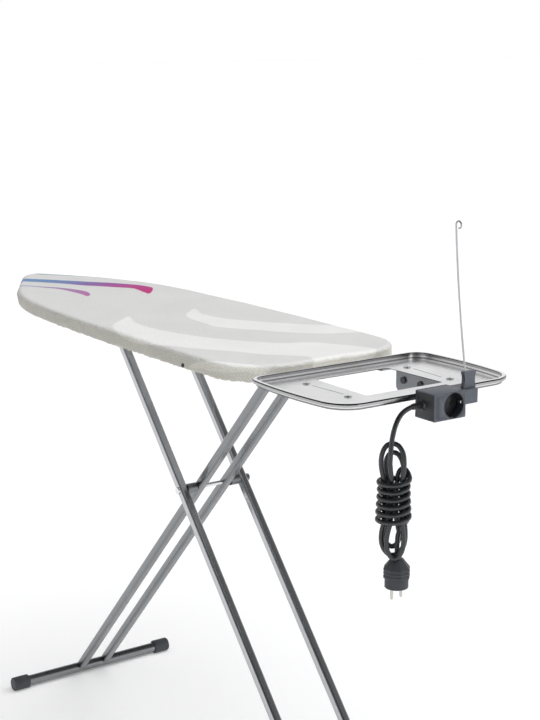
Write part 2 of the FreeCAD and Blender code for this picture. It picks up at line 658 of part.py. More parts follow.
def socket_insert():
    """The recess: a cup with two pin holes and slots for the earth springs."""
    cup = rod(recess_start(RECESS_DEPTH + CUP_WALL), X_AXIS, RECESS_DEPTH + CUP_WALL,
              RECESS_R + CUP_WALL)
    cup = cup.cut(rod(recess_start(RECESS_DEPTH), X_AXIS, RECESS_DEPTH + 1, RECESS_R))
    slot = EARTH_WIDTH / 2 + 0.2
    for side in (-1, 1):
        hole = recess_start(RECESS_DEPTH + 5) + Vector(0, side * PIN_SPACING / 2, 0)
        cup = cup.cut(rod(hole, X_AXIS, 10, PIN_HOLE_R))
        z = sorted((RECESS_Z + side * (RECESS_R - 1), RECESS_Z + side * (RECESS_R + 2)))
        cup = cup.cut(box((FRONT_X - RECESS_DEPTH, FRONT_X + 1),
                          (RECESS_Y - slot, RECESS_Y + slot), z))
    return cup


def earth_contacts():
    """Two sprung strips in slots of the recess wall, above and below."""
    strips = []
    half = EARTH_WIDTH / 2
    for side in (-1, 1):
        z = sorted((RECESS_Z + side * (RECESS_R + 0.1), RECESS_Z + side * (RECESS_R + 0.9)))
        strips.append(box((FRONT_X - RECESS_DEPTH, FRONT_X - 3.5),
                          (RECESS_Y - half, RECESS_Y + half), z))
    return group(strips)


def pin_contacts():
    """Brass sleeves behind the pin holes."""
    start = recess_start(RECESS_DEPTH + CUP_WALL + 16)
    return group(ring(start + Vector(0, side * PIN_SPACING / 2, 0), X_AXIS, 16, 3.8, 2.6)
                 for side in (-1, 1))


def cable_gland():
    """Flanged strain relief on the housing's end, tapering to the lead."""
    x = REST_END + GLAND_X
    flange = rod(Vector(x, SOCKET_Y[0] - 2, GLAND_Z), Y_AXIS, 2, GLAND_R)
    neck = rod(Vector(x, SOCKET_Y[0] - 2, GLAND_Z), Y_AXIS, 2 + SOCKET_WALL, GLAND_R * 0.6)
    taper = Part.makeCone(CORD_R + 1.0, GLAND_R * 0.72, GLAND_LENGTH - 2,
                          Vector(x, SOCKET_Y[0] - GLAND_LENGTH, GLAND_Z), Y_AXIS)
    return flange.fuse(neck).fuse(taper)


def rim_hook():
    """Bent steel strap from the back cover over the rest's rim."""
    y = (-HOOK_WIDTH / 2, HOOK_WIDTH / 2)
    top = box((REST_END - REST_LEDGE - 3, BACK_X + 3), y, (REST_RISE, REST_RISE + 1.5))
    down = box((REST_END - REST_LEDGE - 3, REST_END - REST_LEDGE - 1.5), y, (1.0, REST_RISE))
    hook = top.fuse(down).removeSplitter()
    return hook


def rod_holder():
    """Block on the socket's end that carries the rod clip."""
    block = box((BACK_X + 4, FRONT_X - 3), (SOCKET_Y[1], HOLDER_Y), HOLDER_Z)
    edges = [e for e in block.Edges if e.BoundBox.YMin > HOLDER_Y - 0.01]
    return block.makeFillet(1.2, edges)


def rod_clip():
    """Waisted clip on the holder; the rod's foot stands in its top."""
    dx, dy, dz = CLIP_SIZE
    z = HOLDER_Z[1]
    clip = box((CLIP_X - dx / 2, CLIP_X + dx / 2), (CLIP_Y - dy / 2, CLIP_Y + dy / 2), (z, z + dz))
    for side in (-1, 1):
        waist = rod(Vector(CLIP_X - dx, CLIP_Y + side * (dy / 2 + 28), z + dz * 0.5), X_AXIS,
                    2 * dx, 30)
        clip = clip.cut(waist)
    return clip


def cable_rod():
    """Spring-wire rod with a slight bow and an open eye at its top."""
    foot, top = ROD_FOOT, ROD_FOOT + Vector(*ROD_TOP)
    middle = (foot + top) * 0.5 + Vector(-ROD_BOW, 0, 0)
    arc = Part.Arc(foot, middle, top)
    path = arc.toShape()
    end = path.tangentAt(path.LastParameter)
    side = Vector(end.z, 0, -end.x).normalize()
    eye_middle = top + side * (2 * EYE_R)
    low = top + side * EYE_R - end * (EYE_R * 0.8)
    loop = Part.Arc(top, top + side * EYE_R + end * EYE_R, eye_middle).toShape()
    tail = Part.Arc(eye_middle, eye_middle * 0.5 + low * 0.5 + (side - end) * (EYE_R * 0.2),
                    low).toShape()
    wire = Part.Wire([path, loop, tail])
    start = path.tangentAt(path.FirstParameter)
    profile = Part.Wire(Part.makeCircle(ROD_R, foot, start))
    return wire.makePipeShell([profile], True, True, 2)


def lead_arc_radius(before, at, after):
    """The radius of the bend at one point of the route, and the half turn there."""
    run_in, run_out = at - before, after - at
    half_turn = run_in.getAngle(run_out) / 2
    return 0.45 * min(run_in.Length, run_out.Length) / math.tan(half_turn), half_turn


def lead():
    """The lead as straight runs joined by tangent arcs."""
    points = LEAD_ROUTE
    edges, start = [], points[0]
    for before, at, after in zip(points, points[1:], points[2:]):
        radius, half_turn = lead_arc_radius(before, at, after)
        print("lead bend radius", round(radius, 1))
        way_in, way_out = (at - before).normalize(), (after - at).normalize()
        reach = radius * math.tan(half_turn)
        first, last = at - way_in * reach, at + way_out * reach
        inward = (way_out - way_in).normalize()
        middle = at + inward * (radius / math.cos(half_turn) - radius)
        edges.append(Part.LineSegment(start, first).toShape())
        edges.append(Part.Arc(first, middle, last).toShape())
        start = last
    edges.append(Part.LineSegment(start, points[-1]).toShape())
    wire = Part.Wire(edges)
    profile = Part.Wire(Part.makeCircle(CORD_R, points[0], points[1] - points[0]))
    tube = wire.makePipeShell([profile], True, True, 2)
    print("lead", round(wire.Length, 1), "mm, volume / section",
          round(tube.Volume / (math.pi * CORD_R ** 2), 1))
    return tube


def hank():
    """Outer shape of the hank: loops above, wraps round the middle, loops below."""
    points = [Vector(HANK_X + r, HANK_Y, HANK_TOP + z) for r, z in HANK_PROFILE]
    face = Part.Face(Part.makePolygon(points + points[:1]))
    return face.revolve(Vector(HANK_X, HANK_Y, 0), Z_AXIS, 360)


def octagon(radius, z):
    corners = [Vector(PLUG_X + radius * math.cos(math.radians(a + 22.5)),
                      PLUG_Y + radius * math.sin(math.radians(a + 22.5)), z)
               for a in range(0, 361, 45)]
    return Part.makePolygon(corners)


def plug_body():
    """Straight mains plug hanging pins down: faceted shoulders, grip and round front."""
    shoulder, grip, front = PLUG_STEPS
    z = PLUG_TOP
    neck = octagon(PLUG_NECK_R, z)
    wide = octagon(PLUG_GRIP_R, z - shoulder)
    body = Part.makeLoft([neck, wide], True)
    body = body.fuse(Part.Face(wide).extrude(Vector(0, 0, -grip)))
    start = Vector(PLUG_X, PLUG_Y, z - shoulder - grip - front)
    return body.fuse(rod(start, Z_AXIS, front, PLUG_R)).removeSplitter()


def plug_pins():
    start = PLUG_TOP - sum(PLUG_STEPS)
    return group(rod(Vector(PLUG_X, PLUG_Y + side * PIN_SPACING / 2, start),
                     Vector(0, 0, -1), 19, 2.4) for side in (-1, 1))


def left_right(name, make, *args):
    """Two nodes from one shape: the left one at +Y and its mirror image at -Y."""
    shape = make(*args)
    return {name + "_left": shape, name + "_right": mirrored(shape)}


def board_nodes():
    nodes = {
        "ironing_panel": ironing_panel(),
        "board_rim": board_rim(),
        "pad": pad(),
        "cover": cover(),
        "front_cross_brace": cross_brace(FOLDED_BAR_X - RAIL_END - 22),
        "rear_cross_brace": cross_brace((BAR.x + HINGE.x) / 2),
        "height_rack": height_rack(),
        "hinge_bracket": hinge_bracket(),
        "hinge_pin": hinge_pin(),
        "lever_bracket": lever_bracket(),
        "lever_pin": lever_pin(),
        "lever_spring": lever_spring(),
        "release_lever": release_lever(),
        "lever_grip": lever_grip(),
    }
    nodes.update(left_right("slide_rail", slide_rail))
    return nodes


def rest_nodes():
    nodes = {
        "tray": tray(),
        "tray_rivets": group(tray_rivet(x, side * RIVET_Y) for x in RIVET_X for side in (-1, 1)),
        "arm_bolts": group((arm_bolt(), mirrored(arm_bolt()))),
    }
    nodes.update(left_right("tray_arm", tray_arm))
    nodes.update(left_right("arm_block", arm_block))
    nodes["tray_bracket_left"] = tray_bracket(BRACKET_DROP, BRACKET_HOLES)
    nodes["tray_bracket_right"] = mirrored(tray_bracket(BRACKET_SHORT_DROP, ()))
    nodes["bracket_buffers"] = group(bracket_buffer(x) for x in BRACKET_HOLES)
    return nodes


def socket_nodes():
    return {
        "socket_housing": socket_housing(),
        "socket_back": socket_back(),
        "socket_insert": socket_insert(),
        "earth_contacts": earth_contacts(),
        "pin_contacts": pin_contacts(),
        "cable_gland": cable_gland(),
        "rim_hook": rim_hook(),
        "rod_holder": rod_holder(),
        "rod_clip": rod_clip(),
        "cable_rod": cable_rod(),
        "lead": lead(),
        "lead_hank": hank(),
        "plug_body": plug_body(),
        "plug_pins": plug_pins(),
    }


def leg_nodes():
    nodes = {
        "hinge_tube": hinge_tube(),
        "inner_foot_bar": foot_bar(INNER_FOOT),
        "slide_bar": slide_bar(),
        "outer_foot_bar": foot_bar(OUTER_FOOT),
        "pivot_rod": pivot_rod(),
        "pivot_nut": pivot_nut(),
    }
    nodes.update(left_right("inner_leg", inner_leg, INNER_HALF))
    nodes.update(left_right("outer_leg", outer_leg, OUTER_HALF))
    nodes.update(left_right("inner_foot_cap", foot_cap, INNER_FOOT))
    nodes.update(left_right("outer_foot_cap", foot_cap, OUTER_FOOT))
    nodes.update(left_right("pivot_spacer", pivot_spacer))
    return nodes


def place(shape):
    """Moves a finished shape to stand on the floor, centred under the whole object."""
    shape.translate(-MIDDLE)
    return shape


def main():
    os.makedirs("parts", exist_ok=True)
    nodes = {**board_nodes(), **rest_nodes(), **socket_nodes(), **leg_nodes()}
    for name, shape in nodes.items():
        place(shape).exportStep(os.path.join("parts", name + ".step"))
        print(name, len(shape.Solids), "solid, valid", shape.isValid(), "volume", round(shape.Volume))


if __name__ == "__main__":
    main()
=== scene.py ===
"""Folding ironing board with an iron rest, a mains socket and a cable rod.

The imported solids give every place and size. This script dresses them, makes the
cloth cover, the felt pad, the hanked lead and the fine moulded and turned pieces,
and sets the studio.
"""
from __future__ import annotations

import logging
import math
from dataclasses import dataclass
from enum import Enum
from typing import Any, ClassVar, Iterable, Sequence

import bmesh
import bpy
import numpy as np
from mathutils import Matrix, Vector


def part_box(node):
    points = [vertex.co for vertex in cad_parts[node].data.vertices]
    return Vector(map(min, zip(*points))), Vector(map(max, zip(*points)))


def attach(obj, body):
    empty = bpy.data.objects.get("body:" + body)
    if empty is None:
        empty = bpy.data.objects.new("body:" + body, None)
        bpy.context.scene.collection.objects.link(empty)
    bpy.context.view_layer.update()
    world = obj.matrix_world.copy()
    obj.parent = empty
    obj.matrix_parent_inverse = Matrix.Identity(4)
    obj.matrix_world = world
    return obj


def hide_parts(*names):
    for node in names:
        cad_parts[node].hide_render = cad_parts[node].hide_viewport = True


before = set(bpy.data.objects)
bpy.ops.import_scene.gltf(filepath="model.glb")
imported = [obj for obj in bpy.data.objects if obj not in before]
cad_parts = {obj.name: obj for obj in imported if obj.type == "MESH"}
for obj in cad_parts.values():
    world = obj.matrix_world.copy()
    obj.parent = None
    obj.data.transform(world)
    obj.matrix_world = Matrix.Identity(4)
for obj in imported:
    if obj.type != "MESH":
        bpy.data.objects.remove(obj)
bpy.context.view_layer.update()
LOG = logging.getLogger("ironing_board")
MM = 0.001
# The part is drawn from the iron rest; this is that drawing's origin in the row frame.
DRAWING = Vector((0.42525, 0.0, 0.881))
SEED = 41

Tree, Socket = bpy.types.NodeTree, bpy.types.NodeSocket
Shape, Piece, Look = bmesh.types.BMesh, bpy.types.Object, bpy.types.Material
Profile = Sequence[tuple[float, float]]
Tones = tuple[tuple[float, float], ...]
Route = tuple[tuple[float, float, float], ...]


# ---------------------------------------------------------------- shared helpers
def linear(code: str) -> tuple[float, float, float, float]:
    """Turns an sRGB hex colour to linear light.

    Args:
        code: six hex digits, with or without a leading mark.

    Returns:
        Red, green, blue and an alpha of 1.
    """
    code = code.lstrip("#")
    channels = [int(code[i:i + 2], 16) / 255 for i in (0, 2, 4)]
    light = [c / 12.92 if c <= 0.04045 else ((c + 0.055) / 1.055) ** 2.4 for c in channels]
    return (light[0], light[1], light[2], 1.0)


def feed(tree: Tree, made: bpy.types.Node, inputs: dict) -> None:
    """Sets a node's inputs.

    Args:
        tree: the node tree.
        made: the node.
        inputs: input name or index to a value, or to the socket that feeds it.
    """
    for key, value in inputs.items():
        if isinstance(value, Socket):
            tree.links.new(value, made.inputs[key])
        else:
            made.inputs[key].default_value = value


def node(tree: Tree, kind: str, inputs: dict | None = None,
         stops: Sequence[tuple[float, Sequence[float]]] = (), **settings: Any) -> bpy.types.Node:
    """Adds a node with its settings and links.

    Args:
        tree: the node tree that gets the node.
        kind: the node's Blender type.
        inputs: input name or index to a value, or to the socket that feeds it.
        stops: a ramp's pairs of place and colour.
        settings: attributes of the node.

    Returns:
        The new node.
    """
    made = tree.nodes.new(kind)
    for name, value in settings.items():
        setattr(made, name, value)
    feed(tree, made, inputs or {})
    if stops:
        elements = made.color_ramp.elements
        while len(elements) < len(stops):
            elements.new(0.5)
        for element, (place, colour) in zip(elements, stops):
            element.position, element.color = place, colour
    return made


def blank_material(name: str) -> tuple[Look, Tree, bpy.types.Node]:
    """Starts a material with only its shader and output.

    Args:
        name: the material's name.

    Returns:
        The material, its tree and its shader node.
    """
    material = bpy.data.materials.new(name)
    material.use_nodes = True
    tree = material.node_tree
    tree.nodes.clear()
    shader = node(tree, "ShaderNodeBsdfPrincipled")
    node(tree, "ShaderNodeOutputMaterial", {"Surface": shader.outputs["BSDF"]})
    return material, tree, shader


def stood(name: str, data: bpy.types.ID) -> Piece:
    """Makes an object of its data and links it to the scene."""
    made = bpy.data.objects.new(name, data)
    bpy.context.scene.collection.objects.link(made)
    return made


def to_object(shape: Shape, name: str, smooth: float | None = 40.0) -> Piece:
    """Makes an object of a finished bmesh and frees it.

    Args:
        shape: the mesh, in metres and in place.
        name: the piece's name.
        smooth: edges sharper than this many degrees stay crisp; None leaves it flat.

    Returns:
        The object, linked to the scene.
    """
    bmesh.ops.remove_doubles(shape, verts=shape.verts, dist=1e-6)
    bmesh.ops.recalc_face_normals(shape, faces=shape.faces)
    mesh = bpy.data.meshes.new(name)
    if smooth is not None:
        for face in shape.faces:
            face.smooth = True
        limit = math.radians(smooth)
        for edge in shape.edges:
            if len(edge.link_faces) == 2 and edge.calc_face_angle(0.0) > limit:
                edge.smooth = False
    shape.to_mesh(mesh)
    shape.free()
    return stood(name, mesh)


def settle(piece: Piece, material: Look, body: str, slot: str, *stands_for: str) -> Piece:
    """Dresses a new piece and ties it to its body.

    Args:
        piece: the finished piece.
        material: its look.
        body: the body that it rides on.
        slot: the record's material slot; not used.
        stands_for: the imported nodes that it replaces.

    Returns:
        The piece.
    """
    piece.data.materials.clear()
    piece.data.materials.append(material)
    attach(piece, body)
    if stands_for:
        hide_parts(*stands_for)
    LOG.info("piece %s on %s", piece.name, body)
    return piece


def turned(profile: Profile, at: Vector, axis: Vector, steps: int = 48) -> Shape:
    """Spins a profile of (distance along the axis, radius) in millimetres.

    Args:
        profile: the points of the half section, first and last on the axis or closed.
        at: where the axis starts, in metres.
        axis: the axis's direction.
        steps: segments round the turn.

    Returns:
        The turned solid.
    """
    shape = bmesh.new()
    points = [shape.verts.new((radius * MM, 0.0, along * MM)) for along, radius in profile]
    edges = [shape.edges.new(pair) for pair in zip(points, points[1:])]
    bmesh.ops.spin(shape, geom=points + edges, cent=(0, 0, 0), axis=(0, 0, 1),
                   angle=math.tau, steps=steps, use_merge=True)
    bmesh.ops.remove_doubles(shape, verts=shape.verts, dist=1e-6)
    turn = Vector((0, 0, 1)).rotation_difference(axis.normalized()).to_matrix().to_4x4()
    bmesh.ops.transform(shape, matrix=Matrix.Translation(at) @ turn, verts=shape.verts)
    return shape


def merged(shapes: Iterable[Shape]) -> Shape:
    """Puts several meshes in one, side by side, and frees them.

    Args:
        shapes: the meshes.

    Returns:
        The one mesh.
    """
    whole = bmesh.new()
    for shape in shapes:
        part = bpy.data.meshes.new("part")
        shape.to_mesh(part)
        shape.free()
        whole.from_mesh(part)
        bpy.data.meshes.remove(part)
    return whole


def values(data: Any, name: str, width: int = 1, kind: type = float) -> np.ndarray:
    """Reads one property of every element of a mesh's collection.

    Args:
        data: the collection.
        name: the property.
        width: numbers in each value.
        kind: type of the numbers.

    Returns:
        One value, or one row, for each element.
    """
    found = np.zeros(len(data) * width, kind)
    data.foreach_get(name, found)
    return found.reshape(-1, width) if width > 1 else found


def middle(name: str) -> Vector:
    """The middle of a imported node's box."""
    low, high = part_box(name)
    return (low + high) / 2


def drawn(x: float, y: float, z: float) -> Vector:
    """A point of the part's drawing, in millimetres, as a point of the row frame."""
    return Vector((x * MM, y * MM, z * MM)) + DRAWING


# ---------------------------------------------------------------- finishes
class Coat(Enum):
    """How a metal's surface was left."""

    PLATED = "plated"
    BRUSHED = "brushed"
    SPRUNG = "sprung"


# Height above the rest's floor in millimetres and tone. The dark steps are paint that stands in
# for the dark surroundings that bent sheet mirrors, so they stay dark in any light and view.
REST_PAINTED_REFLECTIONS = ((-1.25, 1.0), (-1.15, 0.06), (-0.15, 0.06), (-0.02, 1.0), (0.25, 0.3), (0.9, 0.15),
              (1.6, 1.0), (4.3, 1.0), (4.8, 0.5), (8.0, 0.55), (8.7, 0.05), (9.5, 0.05), (9.95, 1.0))


@dataclass(frozen=True)
class MetalFinish:
    """A bare or plated metal with its grain, smudges and fine scratches.

    Attributes:
        name: the metal's common name and finish.
        colour: sRGB hex of the clean metal.
        roughness: mean roughness.
        coat: how the surface was made, which sets the grain's direction.
        grain_mm: width of a grain line; real brushing is finer, drawn as coarse as shows.
        grain_depth: strength of the grain in the bump.
        reflection_tones: (height in millimetres, tone) steps of painted reflection, dark bands that
            stand in for what the bent sheet mirrors.
    """

    name: str
    colour: str
    roughness: float
    coat: Coat = Coat.PLATED
    grain_mm: float = 1.2
    grain_depth: float = 0.05
    reflection_tones: Tones = ()

    def painted_reflections(self, tree: Tree, place: Socket, clean: Socket) -> Socket:
        """Paints reflections into the colour: darker bands of height, in place of what the bent sheet
        would mirror.

        Args:
            tree: the material's node tree.
            place: the object coordinates.
            clean: the colour of the flat sheet.

        Returns:
            The colour with its bands.
        """
        low, high = self.reflection_tones[0][0], self.reflection_tones[-1][0]
        split = node(tree, "ShaderNodeSeparateXYZ", {"Vector": place})
        rise = node(tree, "ShaderNodeMapRange", {
            "Value": split.outputs["Z"], "From Min": low * MM, "From Max": high * MM})
        bands = node(tree, "ShaderNodeValToRGB", {"Fac": rise.outputs["Result"]}, stops=[
            ((height - low) / (high - low), (tone, tone, tone, 1.0))
            for height, tone in self.reflection_tones])
        blend = node(tree, "ShaderNodeMix", {0: 1.0, 6: clean, 7: bands.outputs["Color"]},
                     data_type="RGBA", blend_type="MULTIPLY")
        return blend.outputs[2]

    def build(self) -> Look:
        """Makes the material.

        Returns:
            The metal's node material.
        """
        material, tree, shader = blank_material(self.name)
        place = node(tree, "ShaderNodeTexCoord").outputs["Object"]
        stretch = {Coat.PLATED: (1, 1, 1), Coat.BRUSHED: (0.06, 1, 1), Coat.SPRUNG: (1, 1, 0.1)}
        turned_to = node(tree, "ShaderNodeMapping", {"Vector": place, "Scale": stretch[self.coat]})
        grain = node(tree, "ShaderNodeTexNoise", {
            "Vector": turned_to.outputs["Vector"], "Scale": 1000 / self.grain_mm,
            "Detail": 3.0, "Roughness": 0.6})
        smudge = node(tree, "ShaderNodeTexNoise", {
            "Vector": place, "Scale": 14.0, "Detail": 4.0, "Roughness": 0.55})
        base = linear(self.colour)
        dull = tuple(c * 0.9 for c in base[:3]) + (1.0,)
        tint = node(tree, "ShaderNodeMix", {
            0: smudge.outputs["Fac"], 6: base, 7: dull}, data_type="RGBA")
        wander = node(tree, "ShaderNodeMapRange", {
            "Value": smudge.outputs["Fac"], "From Min": 0.3, "From Max": 0.7,
            "To Min": self.roughness * 0.85, "To Max": self.roughness * 1.2})
        fine = node(tree, "ShaderNodeMath", {
            0: grain.outputs["Fac"], 1: 0.07, 2: wander.outputs["Result"]},
            operation="MULTIPLY_ADD")
        bump = node(tree, "ShaderNodeBump", {
            "Height": grain.outputs["Fac"], "Strength": self.grain_depth, "Distance": 0.0002})
        paint = tint.outputs[2]
        # painted reflection: dark bands by height multiplied into the metal's colour
        if self.reflection_tones:
            paint = self.painted_reflections(tree, place, paint)
        feed(tree, shader, {"Base Color": paint, "Roughness": fine.outputs["Value"],
                            "Normal": bump.outputs["Normal"], "Metallic": 1.0})
        return material


@dataclass(frozen=True)
class PolymerFinish:
    """A moulded plastic, rubber or baked paint.

    Attributes:
        name: the polymer's common name and how it was made.
        colour: sRGB hex of the clean surface.
        worn: sRGB hex of the rubbed patches.
        roughness: mean roughness.
        grit_mm: size of the moulded grain, as coarse as it needs to show.
        grit_depth: strength of that grain in the bump.
        gloss: specular level.
    """

    name: str
    colour: str
    worn: str
    roughness: float
    grit_mm: float = 0.9
    grit_depth: float = 0.15
    gloss: float = 0.5

    def build(self) -> Look:
        """Makes the material.

        Returns:
            The polymer's node material.
        """
        material, tree, shader = blank_material(self.name)
        place = node(tree, "ShaderNodeTexCoord").outputs["Object"]
        grit = node(tree, "ShaderNodeTexNoise", {
            "Vector": place, "Scale": 1000 / self.grit_mm, "Detail": 2.0})
        patch = node(tree, "ShaderNodeTexNoise", {
            "Vector": place, "Scale": 38.0, "Detail": 5.0, "Roughness": 0.65})
        wear = node(tree, "ShaderNodeMapRange", {
            "Value": patch.outputs["Fac"], "From Min": 0.45, "From Max": 0.75,
            "To Min": 0.0, "To Max": 1.0})
        tint = node(tree, "ShaderNodeMix", {
            0: wear.outputs["Result"], 6: linear(self.colour), 7: linear(self.worn)},
            data_type="RGBA")
        rough = node(tree, "ShaderNodeMapRange", {
            "Value": patch.outputs["Fac"], "From Min": 0.25, "From Max": 0.75,
            "To Min": self.roughness - 0.05, "To Max": self.roughness + 0.08})
        bump = node(tree, "ShaderNodeBump", {
            "Height": grit.outputs["Fac"], "Strength": self.grit_depth, "Distance": 0.0003})
        feed(tree, shader, {"Base Color": tint.outputs[2], "Roughness": rough.outputs["Result"],
                            "Normal": bump.outputs["Normal"], "Specular IOR Level": self.gloss})
        return material


@dataclass(frozen=True)
class PrintedCotton:
    """Plain-weave cotton with a printed wave pattern and a soft silvery sheen.

    Attributes:
        name: the cloth's name.
        ground: sRGB hex of the grey ground.
        wave: sRGB hex of the pale printed waves.
        skirt_shade: sRGB hex multiplied into the skirt, painted shade added to the shade that the
            lights give it.
        thread_mm: thread pitch; the real 0.5 mm is too fine to show, so it is drawn coarser.
        slub_mm: length of the thick places in the yarn, coarser than real for the same reason.
    """

    name: str = "printed_cotton_weave"
    ground: str = "#E1E1DE"
    wave: str = "#F4F4F1"
    skirt_shade: str = "#E4E2DA"
    thread_mm: float = 1.5
    slub_mm: float = 3.0
    # place along the sweeps, from the nose, and the ink there
    strong_ink: tuple[tuple[float, str], ...] = (
        (0.0, "#6E97C4"), (0.3, "#7089BC"), (0.5, "#8E5FA8"), (0.72, "#B83C94"), (0.92, "#C61F7E"))
    light_ink: tuple[tuple[float, str], ...] = ((0.3, "#A79BC4"), (0.6, "#AC7FB0"), (0.95, "#BC6CA9"))

    def build(self) -> Look:
        """Makes the material.

        Returns:
            The cloth's node material.
        """
        material, tree, shader = blank_material(self.name)
        place = node(tree, "ShaderNodeTexCoord").outputs["Object"]
        height = self.weave(tree)
        colour = self.printed(tree, place)
        slub = node(tree, "ShaderNodeTexNoise", {
            "Vector": place, "Scale": 1000 / self.slub_mm, "Detail": 3.0, "Roughness": 0.6})
        fleck = node(tree, "ShaderNodeMath", {
            0: height, 1: 0.35, 2: slub.outputs["Fac"]}, operation="MULTIPLY_ADD")
        shade = node(tree, "ShaderNodeMapRange", {
            "Value": fleck.outputs["Value"], "From Min": 0.45, "From Max": 1.05,
            "To Min": 0.8, "To Max": 1.13})
        cloud = node(tree, "ShaderNodeTexNoise", {
            "Vector": place, "Scale": 9.0, "Detail": 3.0, "Roughness": 0.5})
        drift = node(tree, "ShaderNodeMapRange", {
            "Value": cloud.outputs["Fac"], "From Min": 0.3, "From Max": 0.7,
            "To Min": 0.97, "To Max": 1.03})
        both = node(tree, "ShaderNodeMath", {
            0: shade.outputs["Result"], 1: drift.outputs["Result"]}, operation="MULTIPLY")
        # painted shade: the skirt attribute mixes a darker, warmer tint into the cloth's colour
        shaded_skirt = node(tree, "ShaderNodeMix", {
            0: node(tree, "ShaderNodeAttribute", attribute_name="skirt").outputs["Fac"],
            6: (1, 1, 1, 1), 7: linear(self.skirt_shade)}, data_type="RGBA").outputs[2]
        shaded_skirt = node(tree, "ShaderNodeVectorMath", {0: colour, 1: shaded_skirt},
                      operation="MULTIPLY").outputs["Vector"]
        mixed = node(tree, "ShaderNodeVectorMath", {
            0: shaded_skirt, "Scale": both.outputs["Value"]}, operation="SCALE")
        bump = node(tree, "ShaderNodeBump", {
            "Height": height, "Strength": 0.6, "Distance": 0.0004})
        feed(tree, shader, {
            "Base Color": mixed.outputs["Vector"], "Normal": bump.outputs["Normal"],
            "Roughness": 0.82, "Sheen Weight": 0.25, "Sheen Roughness": 0.4,
            "Specular IOR Level": 0.3})
        return material

    def weave(self, tree: Tree) -> Socket:
        """Adds the over-and-under of warp and weft.

        Args:
            tree: the material's node tree.

        Returns:
            The weave's height.
        """
        flat = node(tree, "ShaderNodeUVMap", uv_map="cloth").outputs["UV"]
        lines = []
        for direction in ("X", "Y"):
            wave = node(tree, "ShaderNodeTexWave", {
                "Vector": flat, "Scale": 1.0 / (self.thread_mm * MM) / 20 * math.tau / math.pi,
                "Distortion": 1.5, "Detail": 2.0, "Detail Scale": 1.5},
                wave_type="BANDS", bands_direction=direction)
            lines.append(wave.outputs["Fac"])
        return node(tree, "ShaderNodeMath", {0: lines[0], 1: lines[1]},
                    operation="MAXIMUM").outputs["Value"]

    def printed(self, tree: Tree, place: Socket) -> Socket:
        """Adds the print: pale waves, then the coloured sweeps over them.

        Args:
            tree: the material's node tree.
            place: object coordinates.

        Returns:
            The printed colour.
        """
        colour: Any = linear(self.ground)
        inks = self.inks(tree, place)
        for name, soft in (("pale", 2.2), ("sweep", 0.7), ("thin_sweep", 0.7), ("edge_line", 0.8)):
            away = node(tree, "ShaderNodeAttribute", attribute_name="print_" + name)
            cover = node(tree, "ShaderNodeMapRange", {
                "Value": away.outputs["Fac"], "From Min": -soft, "From Max": soft,
                "To Min": 1.0, "To Max": 0.0}, interpolation_type="SMOOTHSTEP")
            layer = node(tree, "ShaderNodeMix", {
                0: cover.outputs["Result"], 6: colour, 7: inks[name]}, data_type="RGBA")
            colour = layer.outputs[2]
        return colour

    def inks(self, tree: Tree, place: Socket) -> dict[str, Any]:
        """Makes the colour of each printed layer.

        Args:
            tree: the material's node tree.
            place: object coordinates.

        Returns:
            A colour, or the socket of one, for each layer.
        """
        along = node(tree, "ShaderNodeSeparateXYZ", {"Vector": place}).outputs["X"]
        run = node(tree, "ShaderNodeMapRange", {
            "Value": along, "From Min": -0.66, "From Max": -0.36}).outputs["Result"]
        strong, light = (
            node(tree, "ShaderNodeValToRGB", {"Fac": run}, stops=[
                (place, linear(code)) for place, code in inks]).outputs["Color"]
            for inks in (self.strong_ink, self.light_ink))
        return {"pale": linear(self.wave), "sweep": strong, "thin_sweep": light,
                "edge_line": linear("#7CA3A6")}


@dataclass(frozen=True)
class NeedledFelt:
    """Needled polyester felt: matted pale fibres in no one direction."""

    name: str = "needled_felt"
    colour: str = "#CFCBBE"

    def build(self) -> Look:
        """Makes the material.

        Returns:
            The felt's node material.
        """
        material, tree, shader = blank_material(self.name)
        place = node(tree, "ShaderNodeTexCoord").outputs["Object"]
        fibres = node(tree, "ShaderNodeTexNoise", {
            "Vector": place, "Scale": 700.0, "Detail": 6.0, "Roughness": 0.75,
            "Distortion": 2.0})
        base = linear(self.colour)
        dark = tuple(c * 0.78 for c in base[:3]) + (1.0,)
        tint = node(tree, "ShaderNodeMix", {0: fibres.outputs["Fac"], 6: dark, 7: base},
                    data_type="RGBA")
        bump = node(tree, "ShaderNodeBump", {
            "Height": fibres.outputs["Fac"], "Strength": 0.6, "Distance": 0.0005})
        feed(tree, shader, {"Base Color": tint.outputs[2], "Normal": bump.outputs["Normal"],
                            "Roughness": 0.95, "Sheen Weight": 0.5})
        return material


